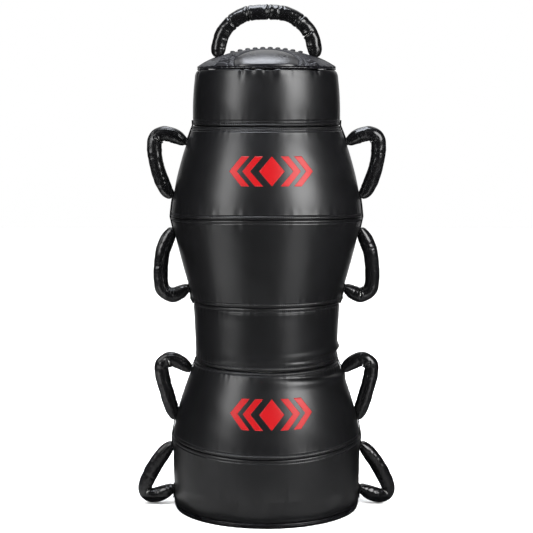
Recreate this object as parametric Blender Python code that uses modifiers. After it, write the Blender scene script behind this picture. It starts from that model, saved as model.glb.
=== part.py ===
"""A standing training bag: a sewn skin of coated cloth, packed hard, with nine padded handles.

Lengths are in metres. The bag stands on z = 0 with its axis on z, and its front faces -y.
The skin is six turned panels between a base and a laced crown. Two webbing straps run down each
flank. They leave the skin four times a side to make the side handles, which swing a little on
their sewn ends, and a ninth handle stands across the crown.
"""

import math

import bmesh
import bpy
from mathutils import Matrix, Vector

SEAT = 0.0003  # what is left between two pieces that touch

# The facets of a turned piece. Facets, and not corners, face the straps on the flanks.
FACETS = 28
HALF_FACET = math.pi / FACETS
FLAT = math.cos(HALF_FACET)  # a facet's distance from the axis, as a share of its corners'
SLOPE_STEP = 0.002  # the slope of the skin is read this far to each side of a point

# Cloth and padding
SKIN = 0.003
LINING = 0.012
STRAP_WIDTH = 0.030
STRAP_THICKNESS = 0.002
STRAP_INSET = 0.002  # a strap's end stops short of the seam it is sewn into
PIPING_RADIUS = 0.0021
PIPING_SIDES = 5

# Radii of the skin at its seams, from the floor up
BASE_RADIUS = 0.222
DRUM_RADIUS = 0.2265
WAIST_LOW_RADIUS = 0.170
WAIST_HIGH_RADIUS = 0.176
BELLY_RADIUS = 0.228
NECK_RADIUS = 0.1735
RIM_RADIUS = 0.1665

# Heights of the panels, and how far each swells past a straight line between its seams
BASE_TURN_UP = 0.012
BASE_CORNER = 0.013  # how far the base's rounded corner reaches in from its seam
CORNER_OUT = 0.8  # the middle of that corner, as shares of its width and height
CORNER_UP = 0.35
DRUM_HEIGHT = 0.148
CONE_HEIGHT = 0.192
WAIST_HEIGHT = 0.145
BELLY_HEIGHT = 0.200
SHOULDER_HEIGHT = 0.217
HEAD_HEIGHT = 0.129
DRUM_SWELL = 0.0005
CONE_SWELL = 0.007
WAIST_SWELL = 0.0005
BELLY_SWELL = 0.002
SHOULDER_SWELL = 0.0085
HEAD_SWELL = 0.0035

# The crown and its laced opening
CROWN_RISE = 0.043
CROWN_STEPS = 6
CROWN_ROUNDNESS = 2.2
CROWN_DROOP = 0.6
CUTTER_HEIGHT = 6 * CROWN_RISE
PLACKET_DEPTH = 0.067  # from the slit to the curved seam of the placket, on the centre line
PLACKET_SEAM_RADIUS = 0.076
SLIT_HALF_WIDTH = 0.004
SLIT_END_STEPS = 4
LACE_RADIUS = 0.003
LACE_SIDES = 6
LACE_PITCH = 0.0175
LACE_TURNS = 10
LACE_ARCH = 0.0088  # how far the lace rises over the skin's middle, and drops under it
LACE_SQUARENESS = 0.3  # nearer 0, the lace stands more upright in its holes
LACE_FULLNESS = 0.9  # under 1, the lace keeps its height further across the slit
EYELET_OFFSET = 0.018  # from the slit's middle to an eyelet's
EYELET_BORE = 0.0048
EYELET_FLANGE = 0.0075
EYELET_RISE = 0.0012  # how far the flange stands proud of the cloth
EYELET_FACETS = 6
TONGUE_HALF_WIDTH = 0.009
TONGUE_THICKNESS = 0.0015
TONGUE_DROP = 0.0008
TONGUE_PAST = 0.012  # how far it runs on past the slit
TONGUE_STEPS = 12

# Handles
GRIP_RADIUS = 0.017
COVER_WALL = 0.0018
FOAM_FIT = 0.0005  # the foam's play inside its cover and round its webbing
CORE_RADIUS = 0.003  # the webbing, folded square where it runs through the grip
CORE_SIDES = 4
CORE_PAST = 0.0005  # how far it runs on past the line that the handle swings on
NECK_LENGTH = 0.012  # bare webbing between an anchor and the cover
COVER_TAPER = 0.028
COVER_MOUTH = 0.36  # the cover's radius at its ends, as a share of the grip's
FOAM_INSET = 0.007  # the foam stops short of where the cover is drawn in
CORE_END = 0.0014  # its radius where it is sewn down
COVER_SIDES = 8
FOAM_SIDES = 6
FOAM_TURN = math.radians(10)  # the foam's sides don't face the cover's
GRIP_FOAM_RADIUS = (GRIP_RADIUS - COVER_WALL) * math.cos(math.pi / COVER_SIDES) - FOAM_FIT
GRIP_FOAM_BORE = (CORE_RADIUS + FOAM_FIT) / math.cos(math.pi / FOAM_SIDES)
ANCHOR_LIFT = 2 * SEAT + STRAP_THICKNESS + CORE_END
GRIP_STEPS = 7
GRIP_BEND_SHARE = 0.5  # how much a grip's rings crowd together in its bends
ANCHOR_GRIP = 0.005  # the strap runs this far past an anchor, under its webbing

# Each side handle lies on one panel. Its upper anchor is this far under the panel's upper seam and
# its lower anchor this far over the lower one. Then come the points that it passes, as
# (distance down the line between the anchors, distance out from that line).
SIDE_HANDLES = {
    "shoulder": (0.0418, 0.0472, ((-0.018, 0.038), (-0.008, 0.066), (0.032, 0.060), (0.094, 0.030))),
    "belly": (0.0298, 0.0312, ((0.036, 0.028), (0.098, 0.048), (0.144, 0.054), (0.154, 0.030))),
    "cone": (0.0268, 0.0472, ((-0.018, 0.036), (-0.008, 0.061), (0.026, 0.056), (0.078, 0.034))),
    "drum": (
        0.0168, 0.0242,
        ((0.036, 0.036), (0.084, 0.062), (0.112, 0.065), (0.124, 0.046), (0.118, 0.022)),
    ),
}
TOP_ANCHOR = 0.117  # the crown handle's anchors, out from the axis
TOP_HANDLE_WAY = ((0.004, 0.030), (0.024, 0.066), (0.062, 0.091))
TOP_HANDLE_RISE = 0.0965
TAB_END = 0.156  # where the crown handle's webbing meets the rim seam

# The filling
TUBE_RADIUS = 0.052
PAD_DROP = 0.015  # from the crown's outside to the pad under it
PAD_HEIGHT = 0.010
PAD_STEPS = 4

CLOTH = (0.028, 0.028, 0.030, 1.0)
GRIP_CLOTH = (0.022, 0.022, 0.024, 1.0)
WEBBING = (0.012, 0.012, 0.013, 1.0)
FOAM = (0.62, 0.62, 0.60, 1.0)
RAGS = (0.36, 0.38, 0.42, 1.0)
SAND = (0.55, 0.47, 0.34, 1.0)
LACE = (0.010, 0.010, 0.011, 1.0)

PANELS = (
    # name, radius at its top, height, swell, steps of its profile
    ("drum_panel", DRUM_RADIUS, DRUM_HEIGHT, DRUM_SWELL, 2),
    ("cone_panel", WAIST_LOW_RADIUS, CONE_HEIGHT, CONE_SWELL, 4),
    ("waist_panel", WAIST_HIGH_RADIUS, WAIST_HEIGHT, WAIST_SWELL, 2),
    ("belly_panel", BELLY_RADIUS, BELLY_HEIGHT, BELLY_SWELL, 3),
    ("shoulder_panel", NECK_RADIUS, SHOULDER_HEIGHT, SHOULDER_SWELL, 5),
    ("head_panel", RIM_RADIUS, HEAD_HEIGHT, HEAD_SWELL, 3),
)
SIDE_START = BASE_TURN_UP + 2 * PIPING_RADIUS + 2 * SEAT
RIM_HEIGHT = SIDE_START + sum(panel[2] for panel in PANELS)
CROWN_EDGE = RIM_HEIGHT + 2 * PIPING_RADIUS + 2 * SEAT


def clear_scene():
    for old in list(bpy.data.objects):
        bpy.data.objects.remove(old)


def collection(name):
    made = bpy.data.collections.new(name)
    bpy.context.scene.collection.children.link(made)
    return made


def material(name, colour, roughness, metallic=0.0):
    made = bpy.data.materials.new(name)
    made.use_nodes = True
    shader = made.node_tree.nodes["Principled BSDF"]
    shader.inputs["Base Color"].default_value = colour
    shader.inputs["Roughness"].default_value = roughness
    shader.inputs["Metallic"].default_value = metallic
    made.diffuse_color = colour
    return made


def place(name, data, finish, group):
    """A new object of this mesh or curve, in its group, with its material."""
    made = bpy.data.objects.new(name, data)
    group.objects.link(made)
    if finish is not None:
        data.materials.append(finish)
    return made


def as_mesh(source):
    """A mesh object in place of a curve or of an object with modifiers, with its caps welded on."""
    graph = bpy.context.evaluated_depsgraph_get()
    mesh = bpy.data.meshes.new_from_object(source.evaluated_get(graph))
    work = bmesh.new()
    work.from_mesh(mesh)
    bmesh.ops.remove_doubles(work, verts=work.verts, dist=0.00001)
    work.to_mesh(mesh)
    work.free()
    name, matrix, group = source.name, source.matrix_world.copy(), source.users_collection[0]
    bpy.data.objects.remove(source)
    made = bpy.data.objects.new(name, mesh)
    made.matrix_world = matrix
    group.objects.link(made)
    return made


def turned(name, outline, finish, group):
    """A closed outline of (radius, height), down its outer side and up its inner one, turned about z."""
    count = len(outline)
    edges = [(i, (i + 1) % count) for i in range(count)]
    mesh = bpy.data.meshes.new(name)
    mesh.from_pydata([(r, 0.0, z) for r, z in outline], edges, [])
    made = place(name, mesh, finish, group)
    made.rotation_euler.z = HALF_FACET
    screw = made.modifiers.new("turn", "SCREW")
    screw.steps = screw.render_steps = FACETS
    screw.use_merge_vertices = True
    screw.merge_threshold = 0.00005
    screw.use_smooth_shade = True
    return made


def slab(name, outline, half_width, finish, group):
    """A flat outline of (x, z), as thick as two half widths along y."""
    curve = bpy.data.curves.new(name, "CURVE")
    curve.dimensions = "2D"
    curve.fill_mode = "BOTH"
    curve.extrude = half_width
    line = curve.splines.new("POLY")
    line.points.add(len(outline) - 1)
    for point, (x, z) in zip(line.points, outline):
        point.co = (x, z, 0.0, 1.0)
    line.use_cyclic_u = True
    made = place(name, curve, finish, group)
    made.rotation_euler.x = math.pi / 2
    return made


def bend_widths(way):
    """What each ring of a tube is widened by, so that the tube keeps its width through its bends."""
    steps = [b - a for a, b in zip(way, way[1:])]
    return [1.0] + [1 / math.cos(a.angle(b) / 2) for a, b in zip(steps, steps[1:])] + [1.0]


def tube(name, way, radii, finish, group, sides, wall=None, turn=0.0):
    """A round tube along a way of points: solid, or open with a wall, its sides turned by an angle."""
    curve = bpy.data.curves.new(name, "CURVE")
    curve.dimensions = "3D"
    curve.bevel_depth = 1.0
    curve.bevel_resolution = sides // 2 - 2
    curve.use_fill_caps = wall is None
    line = curve.splines.new("POLY")
    line.points.add(len(way) - 1)
    for point, position, radius, width in zip(line.points, way, radii, bend_widths(way)):
        point.co = (*position, 1.0)
        point.radius = radius * width
        point.tilt = turn
    made = place(name, curve, finish, group)
    if wall is not None:
        thickness = made.modifiers.new("wall", "SOLIDIFY")
        thickness.thickness = wall
        thickness.offset = -1.0
    return made


def boolean(target, operation, cutter):
    cut = target.modifiers.new(cutter.name, "BOOLEAN")
    cut.operation = operation
    cut.object = cutter
    return cut


def helper(made):
    made.hide_render = True
    made.display_type = "WIRE"
    return made


def cylinder_cutter(name, radius, depth, location, cutters):
    work = bmesh.new()
    bmesh.ops.create_cone(
        work, cap_ends=True, segments=FACETS, radius1=radius, radius2=radius, depth=depth
    )
    mesh = bpy.data.meshes.new(name)
    work.to_mesh(mesh)
    work.free()
    made = helper(place(name, mesh, None, cutters))
    made.location = location
    return made


def block_cutter(name, low, high, cutters):
    """A box between two opposite corners."""
    work = bmesh.new()
    bmesh.ops.create_cube(work, size=1.0)
    bmesh.ops.scale(work, vec=high - low, verts=work.verts)
    bmesh.ops.translate(work, vec=(low + high) / 2, verts=work.verts)
    mesh = bpy.data.meshes.new(name)
    work.to_mesh(mesh)
    work.free()
    return helper(place(name, mesh, None, cutters))


# The skin's profile


def side_lines():
    """The skin's outer line from the base seam to the rim, one list of points for each panel."""
    lines = []
    low_radius, low = BASE_RADIUS, SIDE_START
    for _, high_radius, height, swell, steps in PANELS:
        line = []
        for i in range(steps + 1):
            t = i / steps
            radius = low_radius + (high_radius - low_radius) * t + swell * 4 * t * (1 - t)
            line.append(Vector((radius, low + height * t)))
        lines.append(line)
        low_radius, low = high_radius, low + height
    return lines


def joined(lines):
    whole = [lines[0][0]]
    for line in lines:
        whole += line[1:]
    return whole


def inset(line, depth):
    """The line moved towards the axis by a depth, square to itself and mitred at its corners."""
    normals = []
    for a, b in zip(line, line[1:]):
        along = (b - a).normalized()
        normals.append(Vector((-along.y, along.x)))
    moved = []
    for i, point in enumerate(line):
        before = normals[max(i - 1, 0)]
        after = normals[min(i, len(normals) - 1)]
        mitre = (before + after).normalized()
        moved.append(point + mitre * (depth / mitre.dot(after)))
    return moved


def levelled(line, end, height):
    """Slides one end of the line along its last stretch to a height."""
    next_point = line[1] if end == 0 else line[-2]
    line[end] = line[end].lerp(next_point, (height - line[end].y) / (next_point.y - line[end].y))


def trimmed(line, gap):
    """The line with half a gap taken off each end."""
    line = [point.copy() for point in line]
    line[0] += (line[1] - line[0]).normalized() * gap / 2
    line[-1] += (line[-2] - line[-1]).normalized() * gap / 2
    return line


def band(outer, inner):
    """The outline of a wall between two lines that both run upwards."""
    return [tuple(point) for point in reversed(outer)] + [tuple(point) for point in inner]


SIDE_LINES = side_lines()
SIDE = joined(SIDE_LINES)
SEAM_LINE = [SIDE_LINES[0][0]] + [line[-1] for line in SIDE_LINES]


def skin_radius(height):
    """The faceted skin's outer radius at a height, out to a facet's corners."""
    for a, b in zip(SIDE, SIDE[1:]):
        if a.y <= height <= b.y:
            return a.x + (b.x - a.x) * (height - a.y) / (b.y - a.y)
    return SIDE[0].x if height < SIDE[0].y else SIDE[-1].x


def crown_height(radius):
    """The crown's outer surface over the floor, at a distance from the axis."""
    share = min(abs(radius) / RIM_RADIUS, 1.0)
    return CROWN_EDGE + CROWN_RISE * (1 - share**CROWN_ROUNDNESS) ** CROWN_DROOP


def dome_height(x, y):
    """The faceted crown's outer surface over the floor."""
    turn = (math.atan2(y, x) + HALF_FACET) % (2 * HALF_FACET) - HALF_FACET
    corner = math.hypot(x, y) * math.cos(turn) / FLAT
    line = crown_line()
    for a, b in zip(line, line[1:]):
        if b.x <= corner <= a.x:
            return a.y + (b.y - a.y) * (a.x - corner) / (a.x - b.x)
    return CROWN_EDGE


def crown_line():
    """The crown from its edge to its top."""
    line = []
    for i in range(CROWN_STEPS + 1):
        radius = RIM_RADIUS * math.cos(math.pi / 2 * i / CROWN_STEPS)
        line.append(Vector((radius, crown_height(radius))))
    line[-1].x = 0.0
    return line


# Panels


def build_base(finish, piping_finish, group):
    foot = BASE_RADIUS - BASE_CORNER
    corner = [
        Vector((0.0, 0.0)),
        Vector((foot, 0.0)),
        Vector((foot + CORNER_OUT * BASE_CORNER, CORNER_UP * BASE_TURN_UP)),
        Vector((BASE_RADIUS, BASE_TURN_UP)),
    ]
    inner = inset(corner, SKIN)
    inner[0].x = 0.0
    levelled(inner, -1, BASE_TURN_UP)
    turned("base_panel", band(corner, inner), finish, group)
    piping("base_piping", BASE_RADIUS - SKIN / 2, BASE_TURN_UP + SEAT, piping_finish, group)


def piping(name, radius, low, finish, group):
    """A round cord that lies in a seam, seated on the panel under it."""
    centre = low + PIPING_RADIUS
    ring = []
    for i in range(PIPING_SIDES):
        angle = math.pi / 2 - 2 * math.pi * i / PIPING_SIDES
        ring.append((radius + PIPING_RADIUS * math.cos(angle), centre + PIPING_RADIUS * math.sin(angle)))
    turned(name, ring, finish, group)


def build_side_panels(finish, group):
    inner = inset(SIDE, SKIN)
    start = 0
    for (name, *_), line in zip(PANELS, SIDE_LINES):
        stop = start + len(line)
        turned(name, band(trimmed(line, SEAT), trimmed(inner[start:stop], SEAT)), finish, group)
        start = stop - 1


def build_lining_and_fill(foam, rags, sand, group):
    """A foam sheet behind the skin, packed rags round sand tubes inside it, and a pad on top."""
    outer = inset(SEAM_LINE, SKIN + SEAT)
    inner = inset(SEAM_LINE, SKIN + SEAT + LINING)
    turned("foam_lining", band(outer, inner), foam, group)

    wall = inset(SEAM_LINE, SKIN + 2 * SEAT + LINING)
    floor = SKIN + SEAT
    pad_low = RIM_HEIGHT - PAD_HEIGHT
    top = pad_low - SEAT
    line = [Vector((wall[0].x, floor))] + wall[:-1] + [Vector((wall[-1].x, top))]
    core = [Vector((TUBE_RADIUS, floor)), Vector((TUBE_RADIUS, top))]
    turned("rag_fill", band(line, core), rags, group)

    radius = TUBE_RADIUS - SEAT / FLAT
    turned("sand_tube", [(0.0, top), (radius, top), (radius, floor), (0.0, floor)], sand, group)

    pad_radius = inner[-1].x - SEAT / FLAT
    pad = []
    for i in range(PAD_STEPS + 1):
        radius = pad_radius * i / PAD_STEPS
        pad.append((radius, crown_height(radius) - PAD_DROP))
    pad += [(pad_radius, pad_low), (0.0, pad_low)]
    turned("crown_pad", pad, foam, group)


# The laced crown


def crown_frame(x, y, depth):
    """A frame square to the crown, at a depth under its outer surface, its x along the slit."""
    step = SLOPE_STEP

    def surface(px, py):
        return Vector((px, py, crown_height(math.hypot(px, py))))

    across = surface(x + step, y) - surface(x - step, y)
    up = surface(x, y + step) - surface(x, y - step)
    normal = across.cross(up).normalized()
    along = across.normalized()
    frame = Matrix((along, normal.cross(along), normal)).transposed().to_4x4()
    frame.translation = Vector((x, y, dome_height(x, y))) - normal * depth
    return frame


def lace_stations():
    return [(i - (LACE_TURNS - 1) / 2) * LACE_PITCH for i in range(LACE_TURNS)]


def eyelet_frames(side):
    return [crown_frame(x, side * EYELET_OFFSET, 0.0) for x in lace_stations()]


def eyelet_cylinders(name, side, radius, low, high, cutters):
    """One cylinder at each eyelet of a side, between two heights over the cloth."""
    work = bmesh.new()
    for frame in eyelet_frames(side):
        turn = frame @ Matrix.Translation((0.0, 0.0, (low + high) / 2))
        turn = turn @ Matrix.Rotation(math.pi / EYELET_FACETS, 4, "Z")
        bmesh.ops.create_cone(
            work, cap_ends=True, segments=EYELET_FACETS, radius1=radius, radius2=radius,
            depth=high - low, matrix=turn,
        )
    mesh = bpy.data.meshes.new(name)
    work.to_mesh(mesh)
    work.free()
    return helper(place(name, mesh, None, cutters))


def slit_cutter(cutters):
    """The slit's outline has round ends, just past the last pairs of eyelets."""
    half_length = LACE_PITCH * LACE_TURNS / 2
    outline = []
    for end in (1, -1):
        for i in range(SLIT_END_STEPS + 1):
            angle = math.pi / 2 - math.pi * i / SLIT_END_STEPS
            x = end * (half_length + SLIT_HALF_WIDTH * math.cos(angle))
            outline.append((x, end * SLIT_HALF_WIDTH * math.sin(angle)))
    made = slab("slit", outline, CUTTER_HEIGHT / 2, None, cutters)
    made.rotation_euler.x = 0.0
    made.location.z = CROWN_EDGE
    bpy.context.view_layer.update()
    return helper(as_mesh(made))


def build_crown(finish, group, cutters):
    """One dome, cut by two curved seams and the slit into two outer panels and two plackets.

    Each placket carries its row of eyelets, whose flanges stand proud of the cloth.
    """
    line = crown_line()
    under = inset(line, SKIN)
    levelled(under, 0, CROWN_EDGE)
    under[-1].x = 0.0
    dome = helper(as_mesh(turned("dome", band(line, under), None, cutters)))
    slit = slit_cutter(cutters)
    reach = 2 * RIM_RADIUS
    low, high = CROWN_EDGE - CUTTER_HEIGHT / 2, CROWN_EDGE + CUTTER_HEIGHT / 2
    for word, side in (("front", -1), ("rear", 1)):
        centre = (0.0, side * (PLACKET_DEPTH + PLACKET_SEAM_RADIUS), CROWN_EDGE)
        seam = PLACKET_SEAM_RADIUS
        inside = cylinder_cutter(f"{word}_seam_in", seam - SEAT / 2, CUTTER_HEIGHT, centre, cutters)
        outside = cylinder_cutter(f"{word}_seam_out", seam + SEAT / 2, CUTTER_HEIGHT, centre, cutters)
        near, far = sorted((side * SEAT / 2, side * reach))
        half = block_cutter(
            f"{word}_half", Vector((-reach, near, low)), Vector((reach, far, high)), cutters
        )
        flanges = eyelet_cylinders(f"{word}_flanges", side, EYELET_FLANGE, -SKIN / 2, EYELET_RISE, cutters)
        bores = eyelet_cylinders(f"{word}_bores", side, EYELET_BORE, -2 * SKIN, 2 * SKIN, cutters)

        panel = place(f"crown_{word}_panel", dome.data.copy(), finish, group)
        panel.matrix_world = dome.matrix_world
        boolean(panel, "INTERSECT", inside)

        placket = place(f"{word}_placket", dome.data.copy(), finish, group)
        placket.matrix_world = dome.matrix_world
        boolean(placket, "INTERSECT", half)
        boolean(placket, "DIFFERENCE", outside)
        boolean(placket, "DIFFERENCE", slit)
        boolean(placket, "UNION", flanges)
        boolean(placket, "DIFFERENCE", bores)


def build_tongue(finish, group):
    """A strip under the slit, inside the lace, that keeps the filling in."""
    depth = SKIN + TONGUE_DROP
    half_length = LACE_PITCH * LACE_TURNS / 2 + TONGUE_PAST
    top, bottom = [], []
    for i in range(TONGUE_STEPS + 1):
        x = half_length * (2 * i / TONGUE_STEPS - 1)
        for line, d in ((top, depth), (bottom, depth + TONGUE_THICKNESS)):
            at = crown_frame(x, 0.0, d).translation
            line.append((at.x, at.z))
    slab("lace_tongue", top + bottom[::-1], TONGUE_HALF_WIDTH, finish, group)


def lace_way():
    """Up through a front eyelet, over the slit, down through the rear one and on underneath."""
    points_a_turn = 8
    way = []
    stations = lace_stations()
    for turn, x in enumerate(stations):
        for i in range(points_a_turn):
            angle = 2 * math.pi * (i - 1) / points_a_turn
            across, rise = math.cos(angle), math.sin(angle)
            y = -EYELET_OFFSET * math.copysign(abs(across) ** LACE_SQUARENESS, across)
            z = LACE_ARCH * math.copysign(abs(rise) ** LACE_FULLNESS, rise)
            # The last step of a turn, under the cloth, goes on to the next pair.
            passed = 0.5 if i == points_a_turn - 1 else 0.0
            if turn == len(stations) - 1 and passed > 0:
                continue
            frame = crown_frame(x + LACE_PITCH * passed, y, SKIN / 2)
            way.append(frame @ Vector((0.0, 0.0, z)))
    return way


def build_lace(finish, group):
    way = lace_way()
    tube("lace", way, [LACE_RADIUS] * len(way), finish, group, LACE_SIDES)


# Straps


def flank_line(low, high, lift):
    """The strap's way up a flank, lifted off the facet that it lies on."""
    heights = [low] + [point.y for point in SIDE if low < point.y < high] + [high]
    line = [Vector((skin_radius(z) * FLAT, z)) for z in heights]
    return inset(line, -lift)


def strap_outline(low, high):
    return band(flank_line(low, high, SEAT + STRAP_THICKNESS), flank_line(low, high, SEAT))


def panel_seams(word):
    """The heights of the seams under and over a panel."""
    names = [name for name, *_ in PANELS]
    line = SIDE_LINES[names.index(f"{word}_panel")]
    return line[0].y, line[-1].y


def anchor_heights(word):
    """The heights of the upper and lower anchor of the side handle on a panel."""
    drop, rise, _ = SIDE_HANDLES[word]
    low, high = panel_seams(word)
    return high - drop, low + rise


def strap_runs():
    """The lengths of strap that stay on the skin, each from a seam or an anchor to the next."""
    tops = {word: anchor_heights(word)[0] - ANCHOR_GRIP for word in SIDE_HANDLES}
    bottoms = {word: anchor_heights(word)[1] + ANCHOR_GRIP for word in SIDE_HANDLES}
    waist_low, waist_high = panel_seams("waist")
    return {
        "neck": (tops["shoulder"], panel_seams("shoulder")[1] - STRAP_INSET),
        "belly": (tops["belly"], bottoms["shoulder"]),
        "waist_top": (waist_high + STRAP_INSET, bottoms["belly"]),
        "waist_low": (tops["cone"], waist_low - STRAP_INSET),
        "drum": (tops["drum"], bottoms["cone"]),
        "foot": (SIDE_START + STRAP_INSET, bottoms["drum"]),
    }


def build_straps(finish, group):
    for word, side in (("left", -1), ("right", 1)):
        for run, (low, high) in strap_runs().items():
            outline = [(side * r, z) for r, z in strap_outline(low, high)]
            slab(f"{word}_{run}_strap", outline, STRAP_WIDTH / 2, finish, group)
        inner_end = TOP_ANCHOR - ANCHOR_GRIP
        between = [point.x * FLAT for point in crown_line() if inner_end < point.x * FLAT < TAB_END]
        line = [Vector((x, dome_height(x, 0.0))) for x in [TAB_END] + between + [inner_end]]
        outline = band(inset(line, -SEAT - STRAP_THICKNESS), inset(line, -SEAT))
        slab(f"{word}_crown_strap", [(side * r, z) for r, z in outline], STRAP_WIDTH / 2, finish, group)


# Handles


def smooth_way(points, count=12):
    """A Catmull-Rom curve through the points."""
    ends = [2 * points[0] - points[1]] + points + [2 * points[-1] - points[-2]]
    way = []
    for a, b, c, d in zip(ends, ends[1:], ends[2:], ends[3:]):
        for i in range(count):
            t = i / count
            square = 2 * a - 5 * b + 4 * c - d
            cube = 3 * b - a - 3 * c + d
            way.append((2 * b + (c - a) * t + square * t**2 + cube * t**3) / 2)
    way.append(points[-1])
    return way


def along(way, distances):
    """The points of a way at these distances from its start."""
    lengths = [0.0]
    for a, b in zip(way, way[1:]):
        lengths.append(lengths[-1] + (b - a).length)
    found = []
    for distance in distances:
        i = max(k for k in range(len(way) - 1) if lengths[k] <= distance + 1e-9)
        share = (distance - lengths[i]) / (lengths[i + 1] - lengths[i])
        found.append(way[i].lerp(way[i + 1], min(share, 1.0)))
    return found


def way_length(way):
    return sum((b - a).length for a, b in zip(way, way[1:]))


def anchor(height):
    """Where a side handle's webbing turns, just off the strap under it: (radius, height)."""
    heights = (height - SLOPE_STEP, height, height + SLOPE_STEP)
    line = [Vector((skin_radius(z) * FLAT, z)) for z in heights]
    return inset(line, -ANCHOR_LIFT)[1]


def side_way(word):
    """A side handle's middle line, in the plane of the bag's axis, from upper to lower anchor."""
    passes = SIDE_HANDLES[word][2]
    start, end = (anchor(height) for height in anchor_heights(word))
    down = (end - start).normalized()
    out = Vector((-down.y, down.x))
    points = [start] + [start + down * s + out * h for s, h in passes] + [end]
    return smooth_way(points)


def top_way():
    places = (TOP_ANCHOR + SLOPE_STEP, TOP_ANCHOR, TOP_ANCHOR - SLOPE_STEP)
    start = inset([Vector((x, dome_height(x, 0.0))) for x in places], -ANCHOR_LIFT)[1]
    start.x = -start.x
    half = [start] + [start + Vector(step) for step in TOP_HANDLE_WAY]
    peak = [Vector((0.0, start.y + TOP_HANDLE_RISE))]
    other = [Vector((-point.x, point.y)) for point in reversed(half)]
    return smooth_way(half + peak + other)


def ring_stops(way, low, high, count):
    """Distances along a way between two of them, closer together where the way bends."""
    steps = [b - a for a, b in zip(way, way[1:])]
    lengths, measure = [0.0], [0.0]
    whole = way_length(way)
    turning = sum(a.angle(b) for a, b in zip(steps, steps[1:]))
    for i, step in enumerate(steps):
        bend = steps[i - 1].angle(step) if i else 0.0
        lengths.append(lengths[-1] + step.length)
        measure.append(
            measure[-1] + (1 - GRIP_BEND_SHARE) * step.length / whole + GRIP_BEND_SHARE * bend / turning
        )

    def read(value, given, wanted):
        i = max(k for k in range(len(given) - 1) if given[k] <= value + 1e-9)
        return wanted[i] + (wanted[i + 1] - wanted[i]) * (value - given[i]) / (given[i + 1] - given[i])

    start, end = read(low, lengths, measure), read(high, lengths, measure)
    return [read(start + (end - start) * i / (count - 1), measure, lengths) for i in range(count)]


def build_handle(name, way, side, finishes, group):
    """A rolled webbing core, a foam sleeve round its middle, and a cover drawn in at both ends."""
    cover_finish, foam_finish, core_finish = finishes
    length = way_length(way)

    def solid(distances):
        return [Vector((side * point.x, 0.0, point.y)) for point in along(way, distances)]

    full = NECK_LENGTH + COVER_TAPER
    middle = ring_stops(way, full, length - full, GRIP_STEPS)
    stops = [NECK_LENGTH, NECK_LENGTH + COVER_TAPER / 2] + middle
    stops += [length - NECK_LENGTH - COVER_TAPER / 2, length - NECK_LENGTH]

    core = solid([0.0] + stops + [length])
    core[0] += (core[0] - core[1]).normalized() * CORE_PAST
    core[-1] += (core[-1] - core[-2]).normalized() * CORE_PAST
    core_radii = [CORE_END] + [CORE_RADIUS] * len(stops) + [CORE_END]
    tube(f"{name}_webbing", core, core_radii, core_finish, group, CORE_SIDES)

    foam = solid(middle)
    foam[0] += (foam[1] - foam[0]).normalized() * FOAM_INSET
    foam[-1] += (foam[-2] - foam[-1]).normalized() * FOAM_INSET
    tube(
        f"{name}_foam", foam, [GRIP_FOAM_RADIUS] * len(foam), foam_finish, group,
        FOAM_SIDES, wall=GRIP_FOAM_RADIUS - GRIP_FOAM_BORE, turn=FOAM_TURN,
    )

    radii = []
    for stop in stops:
        near = min(stop, length - stop) - NECK_LENGTH
        share = min(near / COVER_TAPER, 1.0)
        radii.append(GRIP_RADIUS * (COVER_MOUTH + (1 - COVER_MOUTH) * math.sin(share * math.pi / 2)))
    tube(f"{name}_cover", solid(stops), radii, cover_finish, group, COVER_SIDES, wall=COVER_WALL)


def main():
    clear_scene()
    bag = collection("training_bag")
    cutters = collection("cutters")
    cloth = material("coated_cloth", CLOTH, 0.42)
    grip_cloth = material("grip_cloth", GRIP_CLOTH, 0.28)
    webbing = material("webbing", WEBBING, 0.8)
    foam = material("foam", FOAM, 0.9)
    rags = material("rags", RAGS, 0.95)
    sand = material("sand", SAND, 0.95)
    cord = material("lace_cord", LACE, 0.6)

    build_base(cloth, cloth, bag)
    build_side_panels(cloth, bag)
    piping("crown_piping", RIM_RADIUS - SKIN / 2, RIM_HEIGHT + SEAT, cloth, bag)
    build_lining_and_fill(foam, rags, sand, bag)
    build_crown(cloth, bag, cutters)
    build_tongue(cloth, bag)
    build_lace(cord, bag)
    build_straps(webbing, bag)
    for level in SIDE_HANDLES:
        for word, side in (("left", -1), ("right", 1)):
            build_handle(f"{word}_{level}_handle", side_way(level), side, (grip_cloth, foam, webbing), bag)
    build_handle("crown_handle", top_way(), 1, (grip_cloth, foam, webbing), bag)


main()
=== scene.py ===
# %% [markdown]
# # Dressing a standing training bag
#
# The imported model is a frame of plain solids: panels, straps, handles, a laced crown. Every one of
# them is soft on the real bag, so this notebook replaces each with a sewn, creased or woven piece
# of the same size. The frame stays underneath, because it carries the joints.

# %% Load the frame
import math

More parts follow.
